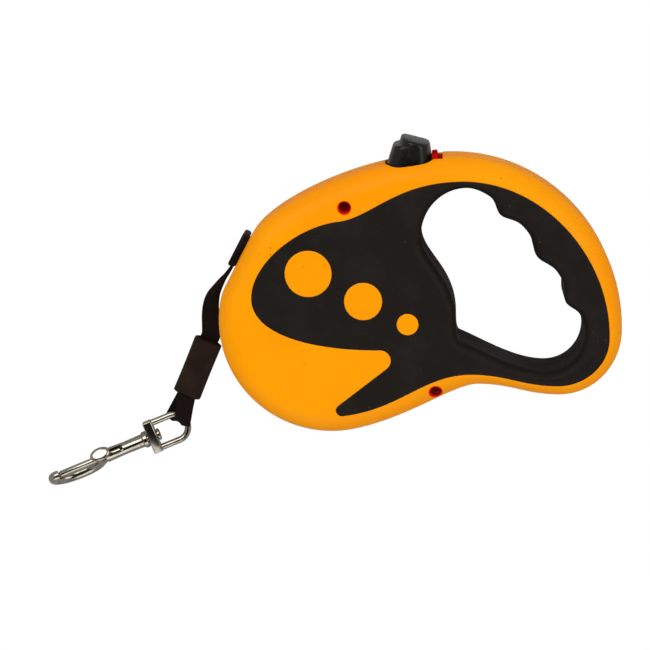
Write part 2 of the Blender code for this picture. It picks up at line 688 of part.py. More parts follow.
def build_brake():
    rim = Matrix.Translation((0, 0, MID)) @ rim_frame()
    width = BUTTON_HALF_WIDTH
    profile = [
        Vector(p) for p in (
            (BUTTON_FRONT, -0.0052), (BUTTON_BACK, -0.0052), (BUTTON_BACK, 0.0010), (0.0072, 0.0040),
            (0.0060, 0.0050), (-0.0036, 0.0086), (-0.0048, 0.0082), (-0.0056, 0.0056), (-0.0074, 0.0050),
            (-0.0082, 0.0038), (BUTTON_FRONT, -0.0005))]
    button = plate("button", profile, -width, width)
    bevel = button.modifiers.new("Bevel", "BEVEL")
    bevel.width = 0.001
    bevel.segments = 2
    bevel.limit_method = "ANGLE"
    bevel.angle_limit = math.radians(40)
    button = baked(button)
    upright = Matrix.Rotation(-math.pi / 2, 4, "X")
    button = cut(button, place(cylinder((PUSHER_PLACE, 0), 0.0036, -0.009, -0.0012, 20), upright))
    pusher = cylinder((PUSHER_PLACE, 0), PUSHER_RADIUS, -PUSHER_DEPTH, -0.0005, 16)
    button = join(button, place(pusher, upright))
    paint(place(button, rim), "brake_button", black_plastic)
    tray_floor = -TRAY_DEPTH - TRAY_THICKNESS
    tongue = BUTTON_BACK + FIT
    tray = box((TRAY_FRONT, tray_floor, -TRAY_HALF_WIDTH),
               (tongue + TONGUE, -TRAY_DEPTH, TRAY_HALF_WIDTH), 0.0004, 1)
    tray = join(tray, box((tongue, -TRAY_DEPTH - TRAY_THICKNESS / 3, -TONGUE_HALF_WIDTH),
                          (tongue + TONGUE, TONGUE_TOP, TONGUE_HALF_WIDTH)))
    hole = cylinder((PUSHER_PLACE, 0), PUSHER_RADIUS + FIT, tray_floor - 0.001, 0.001 - TRAY_DEPTH, 16)
    tray = cut(tray, place(hole, upright))
    paint(place(tray, rim), "lock_slide", red_plastic)
    turns = 4
    spring = []
    for i in range(12 * turns + 1):
        angle = 2 * math.pi * i / 12
        depth = -0.0017 - (TRAY_DEPTH - 0.0025) * i / (12 * turns)
        spring.append((PUSHER_PLACE + 0.0027 * math.cos(angle), depth, 0.0027 * math.sin(angle)))
    paint(place(tube("spring", spring, 0.0003, resolution=1), rim), "button_spring", steel)
    contact = (rim @ Vector((PUSHER_PLACE, -PUSHER_DEPTH - 2 * FIT, 0))).to_2d()
    heading = (rim.to_3x3() @ Vector((1, 0, 0))).to_2d()
    square = Vector((-heading.y, heading.x))
    tip = polar(REEL_RADIUS + PAWL_GAP, PAWL_ANGLE)
    tip_out = polar(1, PAWL_ANGLE)
    tip_side = Vector((-tip_out.y, tip_out.x))
    outline = [
        contact + 0.0038 * heading, contact - 0.004 * heading,
        PAWL_PIVOT + Vector((0.0015, 0.0035)), PAWL_PIVOT + Vector((-0.002, 0.003)),
        PAWL_PIVOT + Vector((-0.0036, 0)), PAWL_PIVOT + Vector((-0.002, -0.003)),
        tip + 0.008 * tip_out + 0.0045 * tip_side, tip + 0.0018 * tip_out + 0.0016 * tip_side,
        tip + 0.0006 * tip_side, tip - 0.0008 * tip_side,
        tip + 0.0022 * tip_out - 0.0022 * tip_side, tip + 0.007 * tip_out,
        PAWL_PIVOT + Vector((0.0105, -0.006)),
        contact + 0.001 * heading - 0.0045 * square, contact + 0.0034 * heading - 0.0028 * square]
    low = MID - PAWL_HALF - PAWL_DROP
    high = low + 2 * PAWL_HALF
    pawl = plate("pawl", outline, low, high)
    pawl = cut(pawl, cylinder(PAWL_PIVOT, PAWL_PIN + FIT, low - 0.001, high + 0.001, 16))
    paint(pawl, "brake_pawl", grey_plastic)
    pin_low, pin_high = MID - SEAT_REACH + FIT, MID + SEAT_REACH - FIT
    paint(cylinder(PAWL_PIVOT, PAWL_PIN, pin_low, pin_high, 16), "pawl_pin", steel)


def ribbon(name, run, sides, widths, thickness):
    """A flat band along a run, with its width and the direction of its width at each point."""
    sections = []
    for i, point in enumerate(run):
        tangent = (run[min(i + 1, len(run) - 1)] - run[max(i - 1, 0)]).normalized()
        across = (sides[i] - sides[i].dot(tangent) * tangent).normalized() * widths[i] / 2
        through = across.normalized().cross(tangent) * thickness / 2
        sections.append([point + across + through, point - across + through,
                         point - across - through, point + across - through])
    return loft(name, sections)


def sleeve_frame():
    """X down the sleeve, Z up."""
    heading = Vector((math.cos(SLEEVE_HEADING), math.sin(SLEEVE_HEADING), 0))
    return frame(SLEEVE_TOP, heading, (0, 0, 1))


def build_tape():
    spots = smooth_run(tape_route(), 3)
    run = [spot.to_3d() for spot in spots]
    sides = []
    up = Vector((0, 0, 1))
    for i, spot in enumerate(spots):
        tangent = (run[min(i + 1, len(run) - 1)] - run[max(i - 1, 0)]).normalized()
        level = tangent.cross(up).normalized()
        twist = math.radians(spot.w)
        sides.append(up * math.cos(twist) + level * math.sin(twist))
    paint(ribbon("tape", run, sides, [TAPE_WIDTH] * len(run), TAPE_THICKNESS), "lead_tape", black_webbing)
    half_width, half_thick = SLEEVE_WIDTH / 2, SLEEVE_THICKNESS / 2
    sleeve = box((0, -half_width, -half_thick), (SLEEVE_LENGTH, half_width, half_thick), 0.0012)
    bore = TAPE_WIDTH / 2 + 2 * FIT
    inside = half_thick - SLEEVE_WALL
    sleeve = cut(sleeve, box((-0.001, -bore, -inside), (SLEEVE_LENGTH + 0.001, bore, inside)))
    paint(place(sleeve, sleeve_frame()), "tape_sleeve", black_rubber)
    build_loop()


def build_loop():
    """The webbing loop from the sleeve round the snap's eye and back."""
    to_row = sleeve_frame()
    eye_plane = snap_frame().to_3x3()
    back = eye_plane.inverted() @ (to_row.to_3x3() @ Vector((-1, 0, 0)))
    contact = EYE_CENTRE + EYE_RADIUS * (eye_plane @ Vector((back.x, back.y, 0)).normalized())
    bend = to_row.inverted() @ contact + Vector((LOOP_CLEARANCE, 0, 0))
    radius = LOOP_BEND + TAPE_THICKNESS / 2
    leg = TAPE_THICKNESS / 2 + FIT
    start = SLEEVE_LENGTH - 0.011
    upper = [
        Vector((start, 0, leg)), Vector((start + 0.005, 0, leg)), Vector((SLEEVE_LENGTH, bend.y * 0.1, leg)),
        Vector((SLEEVE_LENGTH + 0.004, bend.y * 0.5, leg + 0.0012)),
        Vector((bend.x - 0.002, bend.y, bend.z + radius))]
    lower = [Vector((p.x, p.y, -p.z)) for p in reversed(upper[:-1])]
    lower.insert(0, Vector((bend.x - 0.002, bend.y, bend.z - radius)))
    turn = []
    for i in range(9):
        angle = math.pi / 2 - math.pi * i / 8
        turn.append(bend + radius * Vector((math.cos(angle), 0, math.sin(angle))))
    run = smooth_run(upper, 3) + turn + smooth_run(lower, 3)
    widths = []
    for point in run:
        pinched = min(1, max(0, (point.x - SLEEVE_LENGTH) / (bend.x - SLEEVE_LENGTH)))
        widths.append(TAPE_WIDTH + (LOOP_PINCH - TAPE_WIDTH) * pinched)
    run = [to_row @ point for point in run]
    side = to_row.to_3x3() @ Vector((0, 1, 0))
    paint(ribbon("loop", run, [side] * len(run), widths, TAPE_THICKNESS), "loop_webbing", black_webbing)


def snap_frame():
    """X along the snap to its tip, Z out of the eye's plane, from the middle of the eye's bow."""
    level = Vector((math.cos(SNAP_HEADING), math.sin(SNAP_HEADING), 0))
    along = level * math.cos(SNAP_PITCH) + Vector((0, 0, 1)) * math.sin(SNAP_PITCH)
    across = Vector((0, 0, 1)).cross(level)
    return frame(EYE_CENTRE, along, along.cross(across))


def hook_frame():
    """X along the snap from the eye's base, Z toward the thumb piece."""
    base_end = Matrix.Translation((EYE_LENGTH + EYE_BASE / 2, 0, 0))
    return snap_frame() @ base_end @ Matrix.Rotation(SNAP_ROLL, 4, "X")


def build_snap():
    path = arc(Vector((0, 0)), EYE_RADIUS, 90, 270, 14)
    path += [Vector((0, -EYE_RADIUS)), Vector((EYE_LENGTH, -EYE_RADIUS)), Vector((EYE_LENGTH, EYE_RADIUS))]
    eye = tube("eye", [(p.x, p.y, 0) for p in path], EYE_WIRE, cyclic=True)
    base_width = EYE_RADIUS + EYE_WIRE
    base_start, base_end = EYE_LENGTH - EYE_BASE / 2, EYE_LENGTH + EYE_BASE / 2
    base = box((base_start, -base_width, -0.0024), (base_end, base_width, 0.0024), 0.0006, 1)
    eye = cut(join(eye, base), rod(STEM_RADIUS + FIT, base_start - 0.001, base_end + 0.001, 16))
    paint(place(eye, snap_frame()), "snap_eye", nickel)
    stem_end = -EYE_BASE - FIT
    hook = rod(BARREL_RADIUS, 0.001, BARREL_LENGTH)
    hook = join(hook, rod(BARREL_RADIUS + 0.0006, FIT, 0.0022))
    hook = join(hook, rod(STEM_RADIUS, stem_end - 0.0006, 0.0015, 16))
    hook = join(hook, rod(STEM_HEAD, stem_end - 0.0011, stem_end, 16))
    bow = smooth_run([Vector(p) for p in (
        (0.0165, 0, 0), (0.0195, 0, -0.0010), (0.0215, 0, -0.0032), (0.0250, 0, -0.0074), (0.0300, 0, -0.0094),
        (0.0360, 0, -0.0093), (0.0408, 0, -0.0076), (0.0438, 0, -0.0046), (0.0440, 0, -0.0014),
        (0.0428, 0, -0.0001), (0.0412, 0, 0))], 2)
    hook = join(hook, tube("bow", bow, HOOK_WIRE))
    hook = cut(hook, rod(BOLT_RADIUS + FIT, 0.006, 0.036, 16))
    hook = cut(hook, box((0.0114, -0.0013, 0), (0.0215, 0.0013, 0.005)))
    paint(place(hook, hook_frame()), "snap_hook", nickel)
    bolt = rod(BOLT_RADIUS, 0.0127, BOLT_REACH, 16)
    bolt = join(bolt, box((0.0176, -0.001, 0), (0.0202, 0.001, 0.0048)))
    dome = bmesh.new()
    bmesh.ops.create_uvsphere(dome, u_segments=16, v_segments=8, radius=1.0)
    bmesh.ops.scale(dome, vec=(0.0045, 0.0029, 0.0019), verts=dome.verts)
    bmesh.ops.translate(dome, vec=(0.021, 0, 0.0052), verts=dome.verts)
    bolt = join(bolt, from_bmesh("dome", dome))
    paint(place(bolt, hook_frame()), "snap_bolt", nickel)
    turns = 5
    coil = []
    for i in range(8 * turns + 1):
        angle = 2 * math.pi * i / 8
        coil.append((0.0067 + 0.0054 * i / (8 * turns), 0.0011 * math.cos(angle), 0.0011 * math.sin(angle)))
    paint(place(tube("spring", coil, 0.0002, resolution=1), hook_frame()), "bolt_spring", steel)


clear_scene()
leash = bpy.data.collections.new("retractable_leash")
bpy.context.scene.collection.children.link(leash)
orange_plastic = make_material("orange_plastic", (0.87, 0.19, 0.05), 0.35)
black_rubber = make_material("black_rubber", (0.028, 0.028, 0.028), 0.6)
black_plastic = make_material("black_plastic", (0.02, 0.02, 0.022), 0.4)
grey_plastic = make_material("grey_plastic", (0.25, 0.25, 0.26), 0.5)
red_plastic = make_material("red_plastic", (0.6, 0.03, 0.02), 0.4)
black_webbing = make_material("black_webbing", (0.015, 0.015, 0.016), 0.85)
steel = make_material("steel", (0.55, 0.55, 0.56), 0.35, 1.0)
nickel = make_material("nickel", (0.75, 0.74, 0.72), 0.22, 1.0)
build_housing()
build_reel()
build_outlet()
build_brake()
build_tape()
build_snap()
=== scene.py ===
import math

import bpy
import numpy as np
from mathutils import Matrix, Vector
from mathutils.geometry import delaunay_2d_cdt


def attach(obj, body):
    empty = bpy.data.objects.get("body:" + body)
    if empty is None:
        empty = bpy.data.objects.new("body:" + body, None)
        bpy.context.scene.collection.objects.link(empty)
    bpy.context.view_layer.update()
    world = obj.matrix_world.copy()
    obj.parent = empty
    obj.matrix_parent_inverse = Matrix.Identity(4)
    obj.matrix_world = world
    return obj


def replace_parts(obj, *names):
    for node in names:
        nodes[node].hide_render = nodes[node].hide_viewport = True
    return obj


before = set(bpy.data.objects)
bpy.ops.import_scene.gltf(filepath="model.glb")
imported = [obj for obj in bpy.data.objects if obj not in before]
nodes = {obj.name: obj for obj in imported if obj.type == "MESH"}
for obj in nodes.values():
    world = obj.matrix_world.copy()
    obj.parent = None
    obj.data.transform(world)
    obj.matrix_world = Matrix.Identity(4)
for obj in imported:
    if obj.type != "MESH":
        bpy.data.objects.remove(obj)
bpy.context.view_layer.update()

scene = bpy.context.scene
scene.view_settings.view_transform = "Standard"
print("frame loaded:", len(nodes), "nodes")


# camera first: a long lens, tipped a little to the button's side
view = {
    "aim": (-0.0027, -0.0029, 0.0160),
    "towards": (0.058, 0.205, 0.977),
    "distance": 0.85,
    "span": 0.2688,
    "sensor": 36.0,
    "roll": -0.30,
}


def makeCamera(view):
    # focal length = sensor * distance / span, so that the span fills the picture
    lens = bpy.data.cameras.new("camera")
    lens.sensor_width = view["sensor"]
    lens.lens = view["sensor"] * view["distance"] / view["span"]
    lens.clip_start, lens.clip_end = 0.01, 20
    camera = bpy.data.objects.new("camera", lens)
    scene.collection.objects.link(camera)
    back = Vector(view["towards"]).normalized()
    right = Vector((0, 1, 0)).cross(back).normalized()  # the picture's up is +Y
    turn = Matrix((right, back.cross(right), back)).transposed().to_4x4()
    camera.matrix_world = (Matrix.Translation(Vector(view["aim"]) + back * view["distance"]) @ turn
                           @ Matrix.Rotation(math.radians(view["roll"]), 4, "Z"))
    scene.camera = camera


makeCamera(view)


# shader maths: an expression on sockets adds its Math nodes
class Wire:
    def __init__(self, tree, socket=None):
        self.tree, self.socket = tree, socket

    def add(self, kind, settings=None, sockets=None, output=0):
        node = self.tree.nodes.new(kind)
        for name, value in (settings or {}).items():
            setattr(node, name, value)
        for name, value in (sockets or {}).items():
            if isinstance(value, Wire):
                self.tree.links.new(value.socket, node.inputs[name])
            else:
                node.inputs[name].default_value = value
        return Wire(self.tree, node.outputs[output])

    def maths(self, operation, one, two=0.0):
        return self.add("ShaderNodeMath", {"operation": operation}, {0: one, 1: two})

    def __add__(self, other):
        return self.maths("ADD", self, other)

    def __mul__(self, other):
        return self.maths("MULTIPLY", self, other)

    def over(self, low, high):
        # 0 below low, 1 above high, smooth between
        return self.add("ShaderNodeMapRange", {"interpolation_type": "SMOOTHSTEP"},
                        {"Value": self, "From Min": low, "From Max": high})

    def blend(self, one, two):
        # colour one where the factor is 0, colour two where it is 1
        return self.add("ShaderNodeMix", {"data_type": "RGBA"}, {0: self, 6: one, 7: two}, 2)


def newMaterial(name, colour, roughness, metallic=0.0, **fixed):
    # a Principled material, its other sockets set by name with _ for a space
    material = bpy.data.materials.new(name)
    material.use_nodes = True
    material.diffuse_color = (*colour, 1)
    tree = material.node_tree
    shader = tree.nodes["Principled BSDF"]
    shader.inputs["Base Color"].default_value = (*colour, 1)
    shader.inputs["Roughness"].default_value = roughness
    shader.inputs["Metallic"].default_value = metallic
    for socket, value in fixed.items():
        shader.inputs[socket.replace("_", " ")].default_value = value
    return material, Wire(tree), shader


def feed(shader, **wires):
    for socket, wire in wires.items():
        wire.tree.links.new(wire.socket, shader.inputs[socket.replace("_", " ")])


def grainOf(start, scale, detail=3.0, rough=0.5):
    # noise in the piece's own coordinates
    place = start.add("ShaderNodeTexCoord", output=3)
    return start.add("ShaderNodeTexNoise", None,
                     {"Vector": place, "Scale": scale, "Detail": detail, "Roughness": rough})


def bumpOf(start, height, strength, depth):
    return start.add("ShaderNodeBump", None, {"Strength": strength, "Distance": depth, "Height": height})


def rgba(*colour):
    return (*colour, 1)


finish = {
    "orange": (1.0, 0.350, 0.0006), "orangeDeep": (1.0, 0.320, 0.0004), "orangeRough": 0.42,
    "speck": (0.30, 0.07, 0.004),
    "rubber": (0.0105, 0.0078, 0.0062), "rubberPale": (0.0165, 0.0128, 0.0105), "rubberRough": 0.60,
    "dust": (0.09, 0.085, 0.078),
    "button": (0.0060, 0.0056, 0.0052), "buttonRough": 0.28, "outlet": (0.0060, 0.0048, 0.0042),
    "sleeve": (0.0155, 0.0072, 0.0045), "sleeveRough": 0.50,
    # threadShade: painted shade in the dips between the tape's threads
    "thread": (0.0125, 0.0055, 0.0042), "threadShade": (0.0030, 0.0013, 0.0010), "threadRough": 0.85,
    "nickel": (0.36, 0.33, 0.28), "nickelDull": (0.20, 0.175, 0.145), "nickelRough": 0.16,
    # bore: painted shade, the deep red of light bounced round inside the orange screw bores
    "red": (0.46, 0.004, 0.002), "bore": (0.80, 0.020, 0.002), "grey": (0.16, 0.16, 0.165),
    # screw and screwDull: painted reflection, the red of the bores mirrored in the screw heads
    "screw": (0.34, 0.028, 0.014), "screwDull": (0.13, 0.010, 0.006),
    "steel": (0.52, 0.51, 0.50), "steelDull": (0.36, 0.35, 0.34),
}


def orangePlastic():
    # moulded plastic: broad drift in tone, a fine spark texture and rare dark specks
    colour, rough = finish["orange"], finish["orangeRough"]
    material, start, shader = newMaterial("orangePlastic", colour, rough, Specular_IOR_Level=0.06)
    drift = grainOf(start, 22, 2).over(0.35, 0.7)
    specks = grainOf(start, 520, 1).over(0.765, 0.79) * grainOf(start, 60, 1).over(0.5, 0.62)
    tone = drift.blend(rgba(*colour), rgba(*finish["orangeDeep"]))
    spark = grainOf(start, 2600, 2)
    feed(shader, Base_Color=(specks * 0.6).blend(tone, rgba(*finish["speck"])),
         Roughness=grainOf(start, 90, 4) * 0.16 + (rough - 0.08),
         Normal=bumpOf(start, spark, 0.10, 0.00006))
    return material


def gripRubber():
    # soft overmoulded rubber: matt, finely grained, with a faint dusty bloom
    colour, rough = finish["rubber"], finish["rubberRough"]
    material, start, shader = newMaterial("gripRubber", colour, rough, Specular_IOR_Level=0.09)
    bloom = grainOf(start, 55, 5, 0.65).over(0.40, 0.78)
    dust = grainOf(start, 900, 1).over(0.73, 0.78) * grainOf(start, 130, 2).over(0.45, 0.65)
    tone = bloom.blend(rgba(*colour), rgba(*finish["rubberPale"]))
    feed(shader, Base_Color=(dust * 0.5).blend(tone, rgba(*finish["dust"])),
         Roughness=bloom * 0.14 + (rough - 0.06),
         Normal=bumpOf(start, grainOf(start, 1900, 3, 0.6), 0.28, 0.00010))
    return material


def plainPlastic(name, colour, roughness, grain=1500, shine=0.25):
    # plain moulded plastic: clouds of a lighter tone and a fine grain
    material, start, shader = newMaterial(name, colour, roughness, Specular_IOR_Level=shine)
    cloud = grainOf(start, 120, 4, 0.6)
    lighter = tuple(min(1, c * 1.5 + 0.002) for c in colour)
    feed(shader, Base_Color=cloud.over(0.35, 0.75).blend(rgba(*colour), rgba(*lighter)),
         Roughness=cloud * 0.16 + (roughness - 0.08),
         Normal=bumpOf(start, grainOf(start, grain, 2), 0.16, 0.00006))
    return material


def plainMetal(name, colour, dull, roughness):
    # plated metal: slight pitting, duller in cloudy patches
    material, start, shader = newMaterial(name, colour, roughness, 1.0)
    cloud = grainOf(start, 260, 4, 0.6)
    pits = grainOf(start, 1700, 2).over(0.66, 0.74)
    feed(shader, Base_Color=(cloud.over(0.4, 0.72) * 0.8 + pits * 0.2).blend(rgba(*colour), rgba(*dull)),
         Roughness=cloud * 0.22 + pits * 0.12 + (roughness - 0.10),
         Normal=bumpOf(start, cloud + pits * -0.4, 0.12, 0.00010))
    return material


weave = {"rows": 0.00075, "ends": 0.00062}


def webbing():
    # woven tape on the UV map, in metres: u across, v along; two sets of threads that pass over each other
    thread, dark = rgba(*finish["thread"]), rgba(*finish["threadShade"])
    material, start, shader = newMaterial("webbing", finish["thread"], finish["threadRough"], Specular_IOR_Level=0.10,
                                          Sheen_Weight=0.04, Sheen_Roughness=0.5)
    spot = start.add("ShaderNodeUVMap", {"uv_map": "cloth"})
    u = start.add("ShaderNodeSeparateXYZ", None, {0: spot}, 0)
    v = start.add("ShaderNodeSeparateXYZ", None, {0: spot}, 1)
    turn = 2 * math.pi
    endWave = start.maths("SINE", u * (turn / weave["ends"]))
    rowWave = start.maths("SINE", (v + start.maths("ABSOLUTE", u) * 0.8) * (turn / weave["rows"]))
    crown = (endWave * rowWave) * 0.5 + 0.5
    fuzz = grainOf(start, 1800, 2)
    # darker in the weave's dips, which is painted shade, and in random fuzz along the threads
    feed(shader, Base_Color=(crown * 0.75 + fuzz * 0.25).over(0.25, 0.85).blend(dark, thread),
         Normal=bumpOf(start, crown + fuzz * 0.35, 0.7, 0.00022))
    return material


orange, rubber, nylon = orangePlastic(), gripRubber(), webbing()
buttonPlastic = plainPlastic("buttonPlastic", finish["button"], finish["buttonRough"], shine=0.20)
outletPlastic = plainPlastic("outletPlastic", finish["outlet"], 0.45, shine=0.06)
sleeveRubber = plainPlastic("sleeveRubber", finish["sleeve"], finish["sleeveRough"], grain=900, shine=0.10)
redPlastic = plainPlastic("redPlastic", finish["red"], 0.40, shine=0.0)
# the screw bores' lining: its red is a painted shade of light bounced inside the orange bores
boreShadeRed = plainPlastic("boreShadeRed", finish["bore"], 0.45, shine=0.05)
# the screws' red is a painted reflection of the red bores round their heads
screwRedReflection = plainMetal("screwRedReflection", finish["screw"], finish["screwDull"], 0.40)
greyPlastic = plainPlastic("greyPlastic", finish["grey"], 0.48)
nickel = plainMetal("nickel", finish["nickel"], finish["nickelDull"], finish["nickelRough"])
steel = plainMetal("steel", finish["steel"], finish["steelDull"], 0.34)
print("finishes made")


# mesh helpers
def addMesh(name, points, faces, material, sharp=32, uv=None):
    # smooth, but for edges over the sharp angle; the UV is given for each point
    mesh = bpy.data.meshes.new(name)
    mesh.from_pydata(np.asarray(points, float).tolist(), [], [tuple(int(i) for i in f) for f in faces])
    if uv is not None:
        layer = mesh.uv_layers.new(name="cloth")
        corners = np.empty(len(mesh.loops), np.int32)
        mesh.loops.foreach_get("vertex_index", corners)
        layer.data.foreach_set("uv", np.asarray(uv, np.float32)[corners].ravel())
    mesh.materials.append(material)
    mesh.shade_smooth()
    mesh.set_sharp_from_angle(angle=math.radians(sharp))
    thing = bpy.data.objects.new(name, mesh)
    scene.collection.objects.link(thing)
    return thing


def bake(thing, sharp=32):
    # the mesh with its modifiers worked in
    graph = bpy.context.evaluated_depsgraph_get()
    mesh = bpy.data.meshes.new_from_object(thing.evaluated_get(graph))
    thing.modifiers.clear()
    old, thing.data = thing.data, mesh
    bpy.data.meshes.remove(old)
    mesh.name = thing.name
    mesh.shade_smooth()
    mesh.set_sharp_from_angle(angle=math.radians(sharp))
    return thing


def gridFaces(rows, columns, closed=True, flip=False):
    # quads of a rows x columns grid, joined round the columns when closed
    i = np.arange(rows - 1)[:, None]
    j = np.arange(columns if closed else columns - 1)[None, :]
    k = (j + 1) % columns
    low, high = i * columns, (i + 1) * columns
    quads = np.stack([low + j, low + k, high + k, high + j], -1).reshape(-1, 4)
    return quads[:, ::-1] if flip else quads


def tubeFaces(rows, columns):
    # a grid closed round its columns, with one face over each end
    ends = [tuple(range(columns))[::-1], tuple(range((rows - 1) * columns, rows * columns))]
    return gridFaces(rows, columns).tolist() + ends


def lengthAlong(run):
    # length from the run's start to each of its points
    return np.concatenate([[0], np.cumsum(np.linalg.norm(np.diff(run, axis=0), axis=1))])


def circleWays(steps):
    # unit circle at even steps: cos, sin
    angle = 2 * np.pi * np.arange(steps) / steps
    return np.column_stack([np.cos(angle), np.sin(angle)])


def ovalPlan(centre, halfLength, halfWidth, power=3.4, steps=72):
    # superellipse |x/a|^p + |z/b|^p = 1
    c, s = circleWays(steps).T
    x = centre + halfLength * np.sign(c) * np.abs(c) ** (2 / power)
    z = halfWidth * np.sign(s) * np.abs(s) ** (2 / power)
    return x, z


def ringAt(x, ring):
    # (y, z) pairs as points at one x
    return np.column_stack([np.full(len(ring), x), ring])


def placed(points, matrix):
    # rows of points carried from a piece's own frame to the scene's
    turn = np.array(matrix)
    return np.asarray(points, float) @ turn[:3, :3].T + turn[:3, 3]


def unit(v):
    return v / np.linalg.norm(v, axis=-1, keepdims=True)


def outwardFaces(points, faces):
    # turns every face round if the closed surface encloses less than nothing
    corners = [(f[0], f[i], f[i + 1]) for f in faces for i in range(1, len(f) - 1)]
    a, b, c = (points[np.array(corners)[:, k]] for k in range(3))
    return faces if (a * np.cross(b, c)).sum() > 0 else [tuple(f)[::-1] for f in faces]


def solidRows(rows):
    # rings joined into a closed surface, with a fan round the middle of each end ring
    steps, count = len(rows[0]), len(rows) - 1
    points = np.vstack([*rows, rows[0].mean(0), rows[-1].mean(0)])
    i = np.arange(steps)
    j, start, end = (i + 1) % steps, np.full(steps, len(points) - 2), np.full(steps, len(points) - 1)
    fans = np.stack([start, j, i, end, count * steps + i, count * steps + j], 1).reshape(-1, 3)
    return points, outwardFaces(points, gridFaces(len(rows), steps).tolist() + fans.tolist())


def combine(thing, points, faces, operation, sharp=32):
    # Boolean of a piece with one more closed surface
    other = addMesh("other", points, faces, thing.data.materials[0])
    join = thing.modifiers.new("join", "BOOLEAN")
    join.object, join.operation, join.solver = other, operation, "EXACT"
    bake(thing, sharp)
    bpy.data.objects.remove(other)


def bezierRun(start, startHandle, endHandle, end, steps=60):
    # cubic curve s^3 a + 3 s^2 t b + 3 s t^2 c + t^3 d, without its last point
    t = np.arange(steps)[:, None] / steps
    s = 1 - t
    a, b, c, d = (np.asarray(p, float) for p in (start, startHandle, endHandle, end))
    return s ** 3 * a + 3 * s * s * t * b + 3 * s * t * t * c + t ** 3 * d


def quarterRun(start, corner, end, steps=60):
    # a quarter of an ellipse between the sides of a corner
    start, corner, end = (np.asarray(p, float) for p in (start, corner, end))
    share = 0.5523
    return bezierRun(start, start + share * (corner - start), end + share * (corner - end), end, steps)


def arcRun(centre, radius, start, end, steps=60):
    # an arc between two angles in degrees, without its last point
    angle = np.radians(start + (end - start) * np.arange(steps) / steps)
    return np.asarray(centre, float) + radius * np.stack([np.cos(angle), np.sin(angle)], 1)


def evenly(run, spacing, closed=True):
    # the run read again at even steps of its length
    if closed:
        run = np.vstack([run, run[:1]])
    length = lengthAlong(run[:, :3])
    keep = np.concatenate([[True], np.diff(length) > 1e-9])
    run, length = run[keep], length[keep]
    count = max(8, int(round(length[-1] / spacing)))
    spots = np.linspace(0, length[-1], count + 1)
    spots = spots[:-1] if closed else spots
    return np.stack([np.interp(spots, length, run[:, k]) for k in range(run.shape[1])], 1)


def outwardOf(run):
    # unit normals to the right of an anticlockwise run
    along = unit(np.roll(run, -1, 0) - np.roll(run, 1, 0))
    return np.stack([along[:, 1], -along[:, 0]], 1)


def reachOf(points, run):
    # distance from each point to a closed run
    a, b = run, np.roll(run, -1, 0)
    side = b - a
    square = (side ** 2).sum(1)
    best = np.empty(len(points))
    for part in range(0, len(points), 1500):
        p = points[part:part + 1500, None, :]
        t = np.clip(((p - a) * side).sum(2) / square, 0, 1)
        best[part:part + 1500] = np.sqrt((((p - a) - t[..., None] * side) ** 2).sum(2)).min(1)
    return best


def isIn(points, run):
    # even-odd test against a closed run
    a, b = run, np.roll(run, -1, 0)
    inside = np.zeros(len(points), bool)
    for part in range(0, len(points), 4000):
        p = points[part:part + 4000]
        crossing = (a[:, 1] > p[:, 1, None]) != (b[:, 1] > p[:, 1, None])
        with np.errstate(divide="ignore", invalid="ignore"):
            at = a[:, 0] + (p[:, 1, None] - a[:, 1]) * (b[:, 0] - a[:, 0]) / (b[:, 1] - a[:, 1])
        inside[part:part + 4000] = (crossing & (p[:, 0, None] < at)).sum(1) % 2 == 1
    return inside


# housing: outline, grip and opening as on the CAD shells
housing = {
    "middle": 0.016, "half": 0.016, "radius": 0.046, "edge": 0.009, "wall": 0.0014,
    "crown": (0.050, 0.0685), "reach": (0.1187, -0.003), "heel": (0.0935, -0.0296), "waist": (0.0607, -0.0254),
    "bellyStart": 170, "bellyEnd": 283, "outletAngle": 152.6, "flatDepth": 0.001,
    "flatStart": -0.0164, "flatEnd": 0.0058,
    "gripDepth": 0.0012, "gripSkin": 0.00105, "groove": 0.00022, "grooveWidth": 0.00045,
    "openingEdge": 0.0042, "ridge": 0.0032, "fingers": 3, "fingerStart": 0.13, "fingerSpread": 1.15,
    "windows": (((-0.0085, 0.0214), 0.0095), ((0.0137, 0.0102), 0.0077), ((0.0317, 0.0008), 0.0044)),
    "screws": ((0.0062, 0.0484), (0.0432, -0.0275)), "screwBore": 0.0029, "screwLip": 0.0025, "screwHead": 0.0021,
    "screwShank": 0.0013, "screwSeat": 0.0080, "screwFloor": 0.0012, "screwFit": 0.00002, "lipDrop": 0.0001,
    "outlineStep": 0.0006, "windowStep": 0.0005, "edgeStep": 0.0010, "openingStep": 0.0008, "netStep": 0.0016,
    # the button's place on the rim, then its oval slot (centre, half length, half width, low and high)
    # and the low and high corners of the slots for the tongue and the tape
    "rim": (0.033, 0.06706), "rimWay": (0.9909200, 0.1344526),
    "slot": (-0.0002, 0.0109, 0.0129, -0.008, 0.006), "boreStart": 0.004, "boreTop": 0.04,
    "tongueSlot": ((0.004, -0.006, -0.0106), (0.0125, 0.006, 0.0106)),
    "tapeSlot": ((-0.009, -0.004, -0.0056), (0.0035, 0.005, 0.0056)),
}
# side walls: how far they draw in, and their heights above the middle plane, down to the seam
seamLevels = [(0, 0.0050), (0, 0.0030), (0, 0.0012), (0, 0.00055), (0.00008, 0.00030), (0.00028, 0.00015)]
openingLevels = [(0, 0.0105), (0, 0.0085), (0, 0.0065), *seamLevels]


def vec(x, y):
    return np.array((x, y), float)


